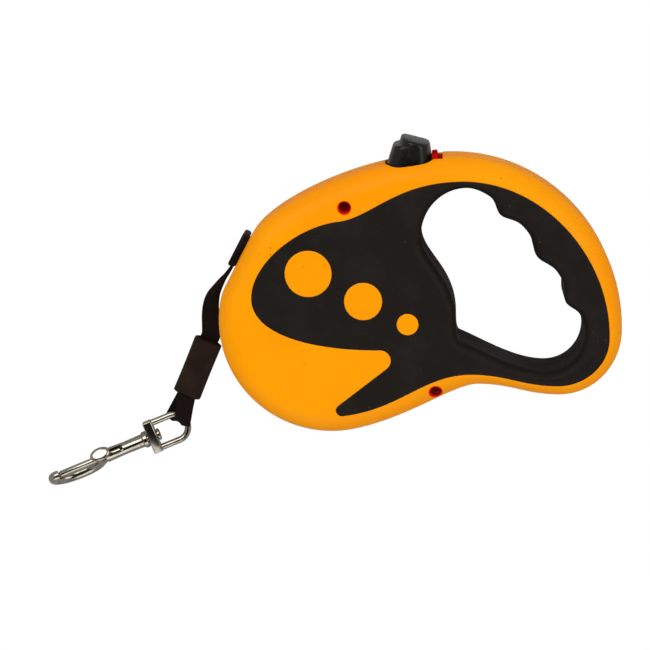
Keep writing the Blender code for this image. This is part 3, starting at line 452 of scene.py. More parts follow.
def housingOutline(h):
    # anticlockwise: the reel's circle, the belly, the heel, the handle's two quarters, the brow and the outlet's flat
    radius, level = h["radius"], vec(1, 0)
    out = vec(math.cos(math.radians(h["outletAngle"])), math.sin(math.radians(h["outletAngle"])))
    along = vec(-out[1], out[0])
    crown, reach, heel, waist = (vec(*h[k]) for k in ("crown", "reach", "heel", "waist"))
    flat = out * (radius - h["flatDepth"])
    flatTop, flatBottom = flat + along * h["flatStart"], flat + along * h["flatEnd"]
    first, last = math.radians(h["bellyStart"]), math.radians(h["bellyEnd"])
    belly = radius * vec(math.cos(last), math.sin(last))
    bellyWay = vec(-math.sin(last), math.cos(last))
    shoulder = radius * vec(math.cos(first), math.sin(first))
    shoulderWay = vec(-math.sin(first), math.cos(first))
    return np.vstack([
        arcRun((0, 0), radius, h["bellyStart"], h["bellyEnd"], 160),
        bezierRun(belly, belly + 0.024 * bellyWay, waist - 0.010 * level, waist),
        bezierRun(waist, waist + 0.014 * level, heel - 0.014 * level, heel),
        quarterRun(heel, vec(reach[0], heel[1]), reach),
        quarterRun(reach, vec(reach[0], crown[1]), crown, 120),
        bezierRun(crown, crown - 0.036 * level, flatTop - 0.015 * along, flatTop, 120),
        np.linspace(flatTop, flatBottom, 40, endpoint=False),
        bezierRun(flatBottom, flatBottom + 0.003 * along, shoulder - 0.003 * shoulderWay, shoulder, 20)])


def openingOutline(h):
    # anticlockwise from the top of the hand opening; the side under the fingers swells into ridges
    top, left, bulge = vec(0.0553, 0.0560), vec(0.0369, 0.0365), vec(0.0514, 0.001)
    corner, floor, right, down = vec(0.0515, -0.0055), vec(0.088, -0.0189), vec(0.1034, -0.003), vec(0, -1)
    floorStart = corner + vec(0.0014, -0.001)
    grip = bezierRun(right, right - 0.012 * down, top + vec(0.0167, 0), top, 240)
    phase = (np.arange(len(grip)) / len(grip) - h["fingerStart"]) * (h["fingers"] + h["fingerSpread"])
    swell = np.where((phase > 0) & (phase < h["fingers"]), (0.5 - 0.5 * np.cos(2 * np.pi * phase)) ** 1.5, 0)
    way = unit(np.gradient(grip, axis=0))
    grip = grip + np.stack([-way[:, 1], way[:, 0]], 1) * (h["ridge"] * swell)[:, None]
    return np.vstack([
        quarterRun(top, vec(left[0], top[1]), left),
        bezierRun(left, left + 0.0105 * down, bulge - 0.019 * down, bulge),
        bezierRun(bulge, bulge + 0.004 * down, floorStart - vec(0.0012, -0.0005), floorStart, 30),
        bezierRun(floorStart, floorStart + vec(0.0105, -0.0045), floor - vec(0.012, 0), floor),
        quarterRun(floor, vec(right[0], floor[1]), right),
        grip])


def gripOutline(h):
    # anticlockwise from the handle's top: the lobe over the reel, the notch, the tail, and the handle's outer side
    radius, level = h["radius"], vec(1, 0)
    crown, reach, heelCorner, waistCorner = (vec(*h[k]) for k in ("crown", "reach", "heel", "waist"))
    top, side = crown + vec(0.0040, -0.0094), reach + vec(-0.0055, -0.002)
    heel, waist = heelCorner + vec(-0.0012, 0.005), waistCorner + vec(-0.0032, 0.0054)
    lobeLeft, lobeTop = radius * vec(-0.689, 0.239), radius * vec(0.087, 0.930)
    tail, tailRadius = radius * vec(0.115, -0.820), 0.0024
    notch, notchRadius = radius * vec(0.448, -0.311), 0.0043
    return np.vstack([
        bezierRun(top, top - 0.0270 * level, lobeTop + vec(0.0135, 0.0020), lobeTop, 90),
        bezierRun(lobeTop, lobeTop - vec(0.0165, 0.0018), lobeLeft + vec(0, 0.0145), lobeLeft, 90),
        bezierRun(lobeLeft, lobeLeft - vec(0, 0.0148), notch + vec(-0.028, notchRadius - 0.0004),
                  notch + vec(0, notchRadius), 90),
        arcRun(notch, notchRadius, 90, -55, 40),
        arcRun(tail + vec(-0.0004, tailRadius), tailRadius, 125, 265, 40),
        bezierRun(tail, tail + vec(0.0238, 0.003), waist - 0.0195 * level, waist, 90),
        bezierRun(waist, waist + 0.014 * level, heel - 0.014 * level, heel),
        quarterRun(heel, vec(side[0], heel[1]), side),
        bezierRun(side, side + vec(0, 0.0330), top + vec(0.0322, 0), top, 110)])


def quarterDrop(reach, radius):
    # fall of a quarter-round edge at a distance in from its outline: r - sqrt(r^2 - (r - d)^2)
    inward = np.where(reach < 2e-6, radius, np.clip(radius - reach, 0, radius))
    return radius - np.sqrt(np.maximum(radius ** 2 - inward ** 2, 0))


def fillFlat(loops, extra):
    # triangles of the plane through all loops and extra points
    edges, first = [], 0
    for run in loops:
        count = len(run)
        edges += [(first + i, first + (i + 1) % count) for i in range(count)]
        first += count
    flat = np.vstack([*loops, extra]) * 1000
    spots, _, faces, *_ = delaunay_2d_cdt([Vector(p) for p in flat], edges, [], 0, 1e-5)
    spots = np.round(np.array([tuple(p) for p in spots]) / 1000, 6)
    return spots, np.array([f for f in faces if len(f) == 3])


def edgeRings(run, radius, side, spacing, degrees):
    # rings at even angles of a quarter-round edge, without the stretches that fold over
    rings = []
    for angle in np.radians(np.arange(degrees, 97, degrees)):
        depth = radius * (1 - math.cos(min(angle, math.pi / 2)))
        ring = evenly(run, spacing)
        ring = ring + side * outwardOf(ring) * depth
        rings.append(ring[np.abs(reachOf(ring, run) - depth) < 0.00006])
    return rings


def housingField(h):
    # every loop and inner point of one face of the housing, and the height above the middle plane at a point
    outlines = (housingOutline, openingOutline, gripOutline)
    outer, opening, grip = (np.round(evenly(outline(h), h["outlineStep"]), 6) for outline in outlines)
    windows = [np.round(arcRun(spot, size, 0, 360, int(2 * math.pi * size / h["windowStep"])), 6)
               for spot, size in h["windows"]]
    inlays = [grip, *windows]
    x, y = np.meshgrid(np.arange(-0.047, 0.12, h["netStep"]), np.arange(-0.047, 0.07, h["netStep"]))
    net = np.stack([x.ravel(), y.ravel()], 1)
    net = net[isIn(net, outer) & ~isIn(net, opening)]
    net = net[(reachOf(net, outer) > h["edge"] + 0.0007) & (reachOf(net, opening) > h["openingEdge"] + 0.0006)]
    extra = np.vstack([*edgeRings(outer, h["edge"], -1, h["edgeStep"], 8),
                       *edgeRings(opening, h["openingEdge"], 1, h["openingStep"], 12), net])
    near = np.minimum.reduce([reachOf(extra, run) for run in inlays])
    extra = extra[(near > h["grooveWidth"] + 0.00045) & (reachOf(extra, opening) > 0.0001)
                  & (reachOf(extra, outer) > 0.00005)]
    for run in inlays:  # two rings on each side of every inlay line, for its groove
        for depth in (-1, -0.5, 0.5, 1):
            ring = run + outwardOf(run) * depth * h["grooveWidth"]
            extra = np.vstack([extra, ring[np.abs(reachOf(ring, run) - abs(depth) * h["grooveWidth"]) < 0.00003]])
    extra = np.round(extra, 6)

    def heightAt(points, grooved=True):
        height = h["half"] - quarterDrop(reachOf(points, outer), h["edge"])
        height -= quarterDrop(reachOf(points, opening), h["openingEdge"])
        if grooved:
            line = np.minimum.reduce([reachOf(points, run) for run in inlays])
            height -= h["groove"] * (1 - np.clip(line / h["grooveWidth"], 0, 1)) ** 2
        return height

    def isRubber(points):
        inside = isIn(points, grip) & ~isIn(points, opening)
        for run in windows:
            inside &= ~isIn(points, run)
        return inside

    spots, faces = fillFlat([outer, opening, *inlays], extra)
    centres = spots[faces].mean(1)
    soft = isRubber(centres)
    hard = isIn(centres, outer) & ~isIn(centres, opening) & ~soft
    return {"outer": outer, "opening": opening, "inlays": inlays, "heightAt": heightAt,
            "face": np.column_stack([spots, heightAt(spots)]),
            "under": np.column_stack([spots, heightAt(spots, False)]),
            "rubberFaces": faces[soft], "shellFaces": faces[hard]}


def wallRows(run, high, side, levels):
    # an upright wall under a loop: rows at each level, drawn in a little at the seam
    normal = outwardOf(run) * side
    rows = [(0, high), *levels]
    return np.vstack([np.column_stack([run - normal * inset, np.full(len(run), level)]) for inset, level in rows])


def joinUp(parts, weld=1e-6):
    # one set of points and faces from several, with shared points merged
    points = np.vstack([p for p, _ in parts])
    faces, first = [], 0
    for p, f in parts:
        faces += [tuple(np.asarray(face) + first) for face in f]
        first += len(p)
    cells = np.round(points / weld).astype(np.int64)
    _, keep, where = np.unique(cells, axis=0, return_index=True, return_inverse=True)
    where = where.ravel()
    faces = [tuple(where[list(f)]) for f in faces]
    faces = [f for f in faces if len(set(f)) == len(f)]
    used = np.unique(np.concatenate([np.array(f) for f in faces]))
    number = np.zeros(len(keep), int)
    number[used] = np.arange(len(used))
    return points[keep][used], [tuple(number[list(f)]) for f in faces]


def screwCup(h, field, spot, steps=48):
    # a lining for one screw bore, coloured with painted shade: its lip follows the face, and it narrows to a seat for
    # the screw's head
    way, spot = circleWays(steps), np.array(spot)
    face = [field["heightAt"](spot + way * r) for r in (h["screwBore"], h["screwLip"])]
    lip = np.minimum.reduce(face) - h["lipDrop"]
    outside, seat, floor = h["screwBore"] - h["screwFit"], h["screwSeat"], h["screwSeat"] - h["screwFloor"]
    rows = [(outside, floor), (outside, lip), (h["screwLip"], lip), (h["screwHead"], seat), (h["screwShank"], seat),
            (h["screwShank"], floor), (outside, floor)]
    points = [np.column_stack([spot + way * r, np.broadcast_to(z, steps) + h["middle"]]) for r, z in rows]
    return np.vstack(points), gridFaces(len(points), steps)


def blockPoints(low, high, place):
    # the eight corners and six sides of a plain block
    corners = np.stack(np.meshgrid(*zip(low, high), indexing="ij"), -1).reshape(-1, 3)
    sides = [(0, 1, 3, 2), (4, 6, 7, 5), (0, 4, 5, 1), (2, 3, 7, 6), (0, 2, 6, 4), (1, 5, 7, 3)]
    return placed(corners, place), sides


def shellSurface(h, field):
    # orange shell: face height field, recess floor one grip depth lower, upright steps between them, side wall
    parts = [(field["face"], field["shellFaces"]), (field["under"] - (0, 0, h["gripDepth"]), field["rubberFaces"])]
    for number, run in enumerate(field["inlays"]):
        upper = np.column_stack([run, field["heightAt"](run)])
        lower = np.column_stack([run, field["heightAt"](run, False) - h["gripDepth"]])
        parts.append((np.vstack([lower, upper]), gridFaces(2, len(run), True, number == 0)))
    wall = wallRows(field["outer"], h["half"] - h["edge"], 1, seamLevels)
    parts.append((wall, gridFaces(1 + len(seamLevels), len(field["outer"]), True, True)))
    return joinUp(parts)


def gripSurface(h, field):
    # rubber grip: face height field and the hand opening's upright wall with its finger ridges
    wall = wallRows(field["opening"], h["half"] - h["openingEdge"], -1, openingLevels)
    return joinUp([(field["face"], field["rubberFaces"]),
                   (wall, gridFaces(1 + len(openingLevels), len(field["opening"])))])


def halfPiece(name, surface, sign, h, material, skin):
    # a front half stands above the middle plane, a rear half is its mirror
    points, faces = surface
    points = points * (1, 1, sign) + (0, 0, h["middle"])
    thing = addMesh(name, points, faces if sign > 0 else [f[::-1] for f in faces], material)
    solid = thing.modifiers.new("skin", "SOLIDIFY")
    solid.thickness, solid.offset, solid.use_even_offset = skin, -1, False
    return bake(thing)


def boreCutter(spot, radius, low, high, steps=40):
    # a round column along Z
    ring = np.array(spot) + radius * circleWays(steps)
    points = np.vstack([np.column_stack([ring, np.full(steps, z)]) for z in (low, high)])
    return points, tubeFaces(2, steps)


def ovalCutter(place, centre, halfLength, halfWidth, low, high):
    # an oval column along the frame's Y axis
    x, z = ovalPlan(centre, halfLength, halfWidth)
    points = np.vstack([np.column_stack([x, np.full(len(x), y), z]) for y in (low, high)])
    return placed(points, place), tubeFaces(2, len(x))


def frameAt(origin, xAxis, zAxis):
    # a frame with its X along the first way and its Z along the second
    xAxis, zAxis = Vector(xAxis).normalized(), Vector(zAxis).normalized()
    return Matrix.Translation(origin) @ Matrix((xAxis, zAxis.cross(xAxis), zAxis)).transposed().to_4x4()


def wayAt(degrees):
    return Vector((math.cos(math.radians(degrees)), math.sin(math.radians(degrees)), 0))


upright = Vector((0, 0, 1))
field = housingField(housing)
print("housing field:", len(field["face"]), "points")
shell, grip = shellSurface(housing, field), gripSurface(housing, field)
centreRim = frameAt((*housing["rim"], housing["middle"]), (*housing["rimWay"], 0), upright)
slotCutter = ovalCutter(centreRim, *housing["slot"])
tongueCutter = blockPoints(*housing["tongueSlot"], centreRim)
outletWay = wayAt(housing["outletAngle"])
outletSide = upright.cross(outletWay)
flatSpot = outletWay * (housing["radius"] - housing["flatDepth"])
flatSpot += outletSide * (housing["flatStart"] + housing["flatEnd"]) / 2
outletFrame = frameAt(flatSpot + upright * housing["middle"], outletSide, upright)
windowCutter = blockPoints(*housing["tapeSlot"], outletFrame)
boreEnds = housing["middle"] + housing["boreStart"], housing["boreTop"]
boreCutters = [boreCutter(spot, housing["screwBore"], *boreEnds) for spot in housing["screws"]]

for name, sign in (("Front", 1), ("Rear", -1)):
    body = halfPiece("shell" + name, shell, sign, housing, orange, housing["wall"])
    bores = boreCutters if sign > 0 else []  # the screws go in from the front
    for points, faces in (slotCutter, joinUp([tongueCutter, windowCutter, *bores])):
        combine(body, points, outwardFaces(points, faces), "DIFFERENCE")
    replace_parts(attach(body, "housing"), name.lower() + "_shell")
    skin = halfPiece("grip" + name, grip, sign, housing, rubber, housing["gripSkin"])
    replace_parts(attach(skin, "housing"), name.lower() + "_grip")
    print(body.name, len(body.data.polygons), "faces,", skin.name, len(skin.data.polygons), "faces")

# the red linings paint the shade and bounced light inside the screw bores
cups = addMesh("screwCups", *joinUp([screwCup(housing, field, spot) for spot in housing["screws"]]), boreShadeRed)
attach(cups, "housing")
print("housing made")


# brake button: an oval post that leans back, with a tilted cap on it, in the rim's frame
button = {
    "foot": -0.0052, "left": -0.0095, "right": 0.0078, "halfWidth": 0.0118, "lean": 0.45, "leanFoot": -0.0020,
    "neck": 0.0060, "tilt": 0.08, "capLeft": -0.0056, "capLean": 0.0026, "capRight": 0.0080, "capTop": 0.0098,
    "capFall": 0.40, "capPower": 2.8, "dome": 6, "skirt": 0.0042, "skirtFall": 0.80, "overhang": 0.0004,
    "round": 0.0012, "roundStart": 0.86,
}


def buttonSurface(b):
    # oval rings one above another, each with its own height at every point
    def postRing(y, inset):
        left = b["left"] + b["lean"] * max(y, b["leanFoot"])
        x, z = ovalPlan((left + b["right"]) / 2, (b["right"] - left) / 2 - inset, b["halfWidth"] - inset)
        return np.column_stack([x, y - b["tilt"] * x, z])

    def capRing(rise, inset, share=1.0):
        # between a skirt that slants down to the back (rise 0) and a tilted, slightly domed top (rise 1)
        left = b["capLeft"] + b["capLean"] * rise
        halfLength = ((b["capRight"] - left) / 2 - inset) * share
        halfWidth = (b["halfWidth"] + b["overhang"] - inset) * share
        x, z = ovalPlan((left + b["capRight"]) / 2, halfLength, halfWidth, b["capPower"])
        high = b["capTop"] - b["capFall"] * (x - b["capLeft"] - b["capLean"]) - b["dome"] * z * z
        low = np.maximum(b["skirt"] - b["skirtFall"] * (x - b["capLeft"]), b["foot"])
        return np.column_stack([x, high * rise + low * (1 - rise), z])

    post = [postRing(y, 0) for y in (b["foot"], -0.002, 0, 0.002, 0.004, b["neck"] - 0.0006)]
    post += [postRing(b["neck"] - 0.0002, 0.0002), postRing(b["neck"], 0.0006)]
    cap = [capRing(0, 0.0018), capRing(0, 0.0003), *(capRing(rise, 0) for rise in (0.05, 0.25, 0.5, 0.7, 0.85))]
    for angle in np.radians((22, 45, 68, 90)):
        rise = b["roundStart"] + (1 - b["roundStart"]) * math.sin(angle)
        cap.append(capRing(rise, b["round"] * (1 - math.cos(angle))))
    cap += [capRing(1, b["round"], share) for share in (0.8, 0.55, 0.3, 0.1)]
    points, faces = joinUp([solidRows(post), solidRows(cap)])
    return placed(points, centreRim), faces


brakeButton = addMesh("brakeButton", *buttonSurface(button), buttonPlastic, 40)
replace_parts(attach(brakeButton, "button"), "brake_button")
print("button made")


# tape: from the coil through the outlet to the sleeve; x, y, z and twist in degrees, as on the CAD tape
tape = {
    "width": 0.008, "thickness": 0.0010, "round": 0.00035, "step": 0.0006,
    "route": (
        (-0.0127, 0.0325, 0.0160, 0), (-0.0230, 0.0297, 0.0160, 0), (-0.0325, 0.0270, 0.0160, 0),
        (-0.0360, 0.0262, 0.0160, 0), (-0.0387, 0.0247, 0.0160, 1), (-0.0408, 0.0219, 0.0160, 3),
        (-0.0431, 0.0186, 0.0157, 8), (-0.0461, 0.0147, 0.0147, 17), (-0.0495, 0.0088, 0.0123, 36),
        (-0.0510, 0.0020, 0.0089, 56), (-0.0512, -0.0048, 0.0055, 76), (-0.0515, -0.0097, 0.0035, 88),
        (-0.0526, -0.0124, 0.0031, 90), (-0.0545, -0.0170, 0.0031, 90), (-0.0561, -0.0209, 0.0031, 90)),
}


def smoothRun(points, steps=24):
    # Catmull-Rom curve through the points
    p = np.asarray(points, float)
    a, b, c, d = np.vstack([p[:1], p[:-2]]), p[:-1], p[1:], np.vstack([p[2:], p[-1:]])
    t = (np.arange(steps) / steps)[None, :, None]
    a, b, c, d = a[:, None], b[:, None], c[:, None], d[:, None]
    run = 0.5 * (2 * b + (c - a) * t + (2 * a - 5 * b + 4 * c - d) * t ** 2 + (3 * b - a - 3 * c + d) * t ** 3)
    return np.vstack([run.reshape(-1, p.shape[1]), p[-1:]])


def bandSurface(run, sides, widths, thickness, rounded):
    # a flat band: a rounded rectangle carried along the run, its width along sides; UV in metres
    along = unit(np.gradient(run, axis=0))
    across = unit(sides - (sides * along).sum(1, keepdims=True) * along)
    through = np.cross(across, along)
    flat, turn = np.linspace(-1, 1, 9), np.radians((15, 45, 75))
    level, corner = np.full(9, thickness / 2), thickness / 2 - rounded + rounded * np.cos(turn)
    shares = np.concatenate([flat, [1] * 3, flat[::-1], [-1] * 3])
    offsets = rounded * np.concatenate([np.zeros(9), np.sin(turn), np.zeros(9), -np.sin(turn)])
    heights = np.concatenate([level, corner, -level, -corner])
    place = shares * (widths[:, None] / 2 - rounded) + offsets
    ring = run[:, None] + across[:, None] * place[..., None] + through[:, None] * heights[None, :, None]
    uv = np.stack(np.broadcast_arrays(place, lengthAlong(run)[:, None]), -1)
    return ring.reshape(-1, 3), tubeFaces(*place.shape), uv.reshape(-1, 2)


def bandPiece(name, run, sides, widths):
    # a band of the tape's own thickness and weave
    points, faces, uv = bandSurface(run, sides, widths, tape["thickness"], tape["round"])
    return addMesh(name, points, outwardFaces(points, faces), nylon, 50, uv)


route = evenly(smoothRun(tape["route"]), tape["step"], False)
tapeRun, twist = route[:, :3], np.radians(route[:, 3:4])
level = unit(np.cross(np.gradient(tapeRun, axis=0), (0, 0, 1)))
tapeSides = np.array((0, 0, 1.0)) * np.cos(twist) + level * np.sin(twist)
leadTape = bandPiece("leadTape", tapeRun, tapeSides, np.full(len(tapeRun), tape["width"]))
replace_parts(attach(leadTape, "housing"), "lead_tape")


# sleeve over the tape's end, and the loop that holds the snap
sleeve = {
    "top": (-0.0526, -0.0124, 0.0031), "heading": 247.5, "length": 0.0258, "width": 0.0119, "thickness": 0.0058,
    "corner": 0.0017, "round": 0.0009, "waist": 0.00025, "bore": 0.0092, "boreHigh": 0.0034, "boreCorner": 0.0006,
    "lip": 0.0002,
}
snap = {
    "centre": (-0.0677, -0.0503, 0.0047), "heading": 201.7, "pitch": 7.7, "roll": 28.0, "fit": 0.0003,
    "wire": 0.0014, "bow": 0.0057, "length": 0.010, "base": 0.004, "baseHalf": 0.0024, "baseRound": 0.0006,
    "stem": 0.0016, "stemHead": 0.0026, "barrel": 0.003, "hookWire": 0.0021, "hookSwell": 0.06,
    "hookLine": ((0.0165, 0), (0.0195, -0.0010), (0.0215, -0.0032), (0.0250, -0.0074), (0.0300, -0.0094),
                 (0.0360, -0.0093), (0.0408, -0.0076), (0.0438, -0.0046), (0.0440, -0.0014), (0.0428, -0.0001),
                 (0.0412, 0)),
    "slot": ((0.0114, -0.0013, 0), (0.0215, 0.0013, 0.005)), "stalk": ((0.0176, -0.001, 0), (0.0202, 0.001, 0.0048)),
    "soften": 0.0003, "bolt": 0.00145, "boltStart": 0.0127, "boltReach": 0.0409,
    "thumb": (0.0045, 0.0029, 0.0019), "thumbSpot": (0.021, 0, 0.0052), "dish": 0.38,
}
loop = {
    "inside": (0.011, 0.0055, 0.0003), "fit": 0.0003, "room": 0.0004, "splay": 0.0019, "spread": 0.92,
    "wrap": (-28, 208),
}


def snapFrame(s):
    # X along the snap, tipped up by its pitch
    pitch, level = math.radians(s["pitch"]), wayAt(s["heading"])
    along = level * math.cos(pitch) + upright * math.sin(pitch)
    return frameAt(s["centre"], along, along.cross(upright.cross(level)))


sleeveFrame = frameAt(sleeve["top"], wayAt(sleeve["heading"]), upright)
eyeFrame = snapFrame(snap)
hookFrame = (eyeFrame @ Matrix.Translation((snap["length"] + snap["base"] / 2, 0, 0))
             @ Matrix.Rotation(math.radians(snap["roll"]), 4, "X"))


def roundedBox(width, height, corner, steps=10):
    # a rounded rectangle as (y, z), anticlockwise
    y, z = width / 2 - corner, height / 2 - corner
    corners = (((y, z), 0), ((-y, z), 90), ((-y, -z), 180), ((y, -z), 270))
    parts = [arcRun(spot, corner, start, start + 90, steps) for spot, start in corners]
    return np.vstack([np.vstack([p, p[-1:] + (p[-1:] - p[-2:-1])]) for p in parts])


def sleeveSurface(s):
    # a rounded box tube: outer side with soft ends and a shallow waist, and the bore back through it
    rows = []
    for x in np.linspace(0, s["length"], 40):
        drop = quarterDrop(min(x, s["length"] - x), s["round"])
        inset = 2 * drop + s["waist"] * math.sin(math.pi * x / s["length"])
        rows.append(ringAt(x, roundedBox(s["width"] - inset, s["thickness"] - inset, s["corner"])))
    bore = roundedBox(s["bore"], s["boreHigh"], s["boreCorner"])
    rows += [ringAt(x, bore) for x in np.linspace(s["length"] - s["lip"], s["lip"], 6)]
    rows.append(rows[0])
    points, faces = joinUp([(placed(np.vstack(rows), sleeveFrame), gridFaces(len(rows), len(rows[0])))])
    return points, outwardFaces(points, faces)


tapeSleeve = addMesh("tapeSleeve", *sleeveSurface(sleeve), sleeveRubber, 50)
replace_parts(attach(tapeSleeve, "housing"), "tape_sleeve")


def loopSurface(s, e, p):
    # threads that leave the sleeve, go round the eye's wire and come back; the two legs are splayed along the wire
    turn, slope = np.array(eyeFrame.to_3x3()), np.array(sleeveFrame.to_3x3())
    back, across = turn.T @ slope @ (-1, 0, 0), turn.T @ slope @ (0, 1, 0)
    contact, bar = math.atan2(back[1], back[0]), math.copysign(math.pi / 2, back[1])
    way = math.copysign(1, bar - contact)
    facing = math.copysign(1, across[:2] @ np.array((-math.sin(contact), math.cos(contact))) * way)

    def wireAt(d):
        # a point on the wire's middle line at a length from the contact, and the way out of the eye there
        curved = abs(bar - contact) * e["bow"]
        angle = np.where(d > curved, bar, contact + way * d / e["bow"])
        out = np.column_stack([np.cos(angle), np.sin(angle), 0 * angle])
        return out * e["bow"] + np.column_stack([np.maximum(d - curved, 0), 0 * d, 0 * d]), out

    u = np.linspace(-1, 1, 21)
    half, leg = tape["width"] / 2, tape["thickness"] / 2 + p["fit"]
    bend = e["wire"] + p["room"] + tape["thickness"] / 2

    def legAt(inside, height):
        # the tape's cross line in the sleeve, at a length in from the sleeve's end
        cross = np.column_stack([u * half, np.full(len(u), height)])
        return placed(ringAt(s["length"] - inside, cross), sleeveFrame)

    wrap = []
    for angle in np.radians(np.linspace(*p["wrap"], 17)):
        spot, out = wireAt(facing * u * half * p["spread"] - p["splay"] * math.cos(angle))
        wrap.append(placed(spot + bend * (math.cos(angle) * np.array((0, 0, 1.0)) - math.sin(angle) * out), eyeFrame))
    control = np.stack([*(legAt(inside, leg) for inside in p["inside"]), *wrap,
                        *(legAt(inside, -leg) for inside in p["inside"][::-1])])
    sheet = np.stack([smoothRun(control[:, k], 6) for k in range(len(u))], 1)
    normal = unit(np.cross(np.gradient(sheet, axis=0), np.gradient(sheet, axis=1))) * tape["thickness"] / 2
    ring = np.concatenate([sheet + normal, (sheet - normal)[:, ::-1]], 1)
    length = lengthAlong(sheet[:, len(u) // 2])
    uv = np.stack(np.broadcast_arrays(np.concatenate([u, u[::-1]]) * half, length[:, None]), -1)
    points = ring.reshape(-1, 3)
    return points, outwardFaces(points, tubeFaces(*ring.shape[:2])), uv.reshape(-1, 2)


points, faces, uv = loopSurface(sleeve, snap, loop)
tapeLoop = addMesh("tapeLoop", points, faces, nylon, 50, uv)
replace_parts(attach(tapeLoop, "housing"), "loop_webbing")
print("tape, sleeve and loop made")


# snap: eye, barrel with hook, and sprung bolt
def tubeSurface(run, radii, closed=False, steps=28):
    # circles carried along a run, turned as little as they can be from ring to ring
    run = np.asarray(run, float)
    along = unit(np.roll(run, -1, 0) - np.roll(run, 1, 0) if closed else np.gradient(run, axis=0))
    side, sides = np.cross(along[0], (0.0, 0.3, 1.0)), []
    for way in along:
        side = unit(side - (side @ way) * way)
        sides.append(side)
    sides = np.array(sides)
    c, s = circleWays(steps).T[..., None]
    spokes = sides[:, None] * c + np.cross(along, sides)[:, None] * s
    ring = run[:, None] + np.reshape(radii, (-1, 1, 1)) * spokes
    points, rows = ring.reshape(-1, 3), len(run)
    if not closed:
        return points, outwardFaces(points, tubeFaces(rows, steps))
    # the last ring meets the first at the turn that fits best
    i, final = np.arange(steps), (rows - 1) * steps
    k = i + np.argmin(np.linalg.norm(ring[-1] - ring[0][0], axis=1))
    seam = np.stack([final + k % steps, final + (k + 1) % steps, (i + 1) % steps, i], 1)
    return points, outwardFaces(points, gridFaces(rows, steps).tolist() + seam.tolist())


def lathe(profile, steps=40):
    # (x, radius) pairs carried round the X axis and closed on it
    return solidRows([ringAt(x, r * circleWays(steps)) for x, r in profile])


def blockSurface(low, high, corner, steps=6):
    # a block with rounded edges: rounded rectangles along X that draw in at both ends
    low, high = np.array(low, float), np.array(high, float)
    middle, (_, width, height) = (low + high)[1:] / 2, high - low
    turns, rows = np.linspace(0, math.pi / 2, steps), []
    for side, x, order in ((1, low[0], turns), (-1, high[0], turns[::-1])):
        for turn in order:
            inset = corner * (1 - math.sin(turn))
            ring = roundedBox(width - 2 * inset, height - 2 * inset, max(corner - inset * 0.5, 0.0001), 6)
            rows.append(ringAt(x + side * corner * (1 - math.cos(turn)), ring + middle))
    return solidRows(rows)


# the lock slide's tongue, red behind the button, with an apron that slides under the rim
tongue = {
    "left": 0.0081, "right": 0.0104, "halfWidth": 0.0104, "top": 0.0008, "foot": -0.0042, "round": 0.0005,
    "apron": ((0.0090, -0.0024, -0.0095), (0.0150, -0.0016, 0.0095)), "apronRound": 0.0003,
}


def tongueSurface(t, h):
    # a short bar across the rim, whose top follows the rim's round edges and whose corners are rounded
    across, turns, rows = np.linspace(-1, 1, 33), np.radians((0, 30, 60, 90)), []
    for side, x, order in ((1, t["left"], turns), (-1, t["right"], turns[::-1])):
        for turn in order:
            inset = t["round"] * (1 - math.sin(turn))
            z = across * (t["halfWidth"] - inset)
            top = t["top"] - inset - quarterDrop(h["half"] - np.abs(z), h["edge"])
            foot = np.full(len(z), t["foot"])
            bar = np.column_stack([np.concatenate([top, foot]), np.concatenate([z, z[::-1]])])
            rows.append(ringAt(x + side * t["round"] * (1 - math.cos(turn)), bar))
    return joinUp([solidRows(rows), blockSurface(*t["apron"], t["apronRound"])])


points, faces = tongueSurface(tongue, housing)
lockTongue = addMesh("lockTongue", placed(points, centreRim), faces, redPlastic, 40)
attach(lockTongue, "lock")


def united(name, parts, place, material, cutters=()):
    # closed surfaces joined by Boolean union, then cut
    thing = addMesh(name, placed(parts[0][0], place), parts[0][1], material, 40)
    for operation, group in (("UNION", parts[1:]), ("DIFFERENCE", cutters)):
        for points, faces in group:
            combine(thing, placed(points, place), faces, operation, 40)
    return thing


def eyePiece(s):
    # a bow of wire closed by a base, which has a bore for the hook's stem
    bow, reach, half, wide = s["bow"], s["length"], s["base"] / 2, s["bow"] + s["wire"]
    corners = ((0, -bow), (reach, -bow), (reach, bow), (0, bow))
    sides = [np.linspace(a, b, 14, endpoint=False) for a, b in zip(corners, corners[1:])]
    path = np.vstack([arcRun((0, 0), bow, 90, 270, 60), *sides])
    path = np.column_stack([path, np.zeros(len(path))])
    base = blockSurface((reach - half, -wide, -s["baseHalf"]), (reach + half, wide, s["baseHalf"]), s["baseRound"])
    bore = lathe([(reach + x, s["stem"] + s["fit"]) for x in (-0.003, 0.003)], 32)
    return united("snapEye", [tubeSurface(path, s["wire"], True), base], eyeFrame, nickel, [bore])


def hookPiece(s):
    # a turned barrel, its stem through the eye's base, and a wire hook; a bore and a slot for the bolt
    r, end, head, stem = s["barrel"], -s["base"] - s["fit"], s["stemHead"], s["stem"]
    barrel = lathe([(0.0003, head), (0.0003, r + 0.0003), (0.0006, r + 0.0006), (0.0019, r + 0.0006),
                    (0.0022, r + 0.0003), (0.0024, r), (0.0030, r - 0.00015), (0.0100, r - 0.0003),
                    (0.0170, r - 0.0001), (0.0190, r), (0.0197, r - 0.0003), (0.0200, r - 0.0009)])
    post = lathe([(end - 0.0011, head - 0.0005), (end - 0.0008, head), (end - 0.0002, head), (end, head - 0.0002),
                  (end, stem), (0.0015, stem)], 32)
    line = smoothRun([(x, 0, z) for x, z in s["hookLine"]], 10)
    swell = 1 + s["hookSwell"] * np.sin(math.pi * np.linspace(0, 1, len(line)))
    bore = lathe([(x, s["bolt"] + s["fit"]) for x in (0.006, 0.036)], 32)
    slot = blockSurface(*s["slot"], s["soften"])
    parts = [barrel, post, tubeSurface(line, s["hookWire"] * swell)]
    return united("snapHook", parts, hookFrame, nickel, [bore, slot])


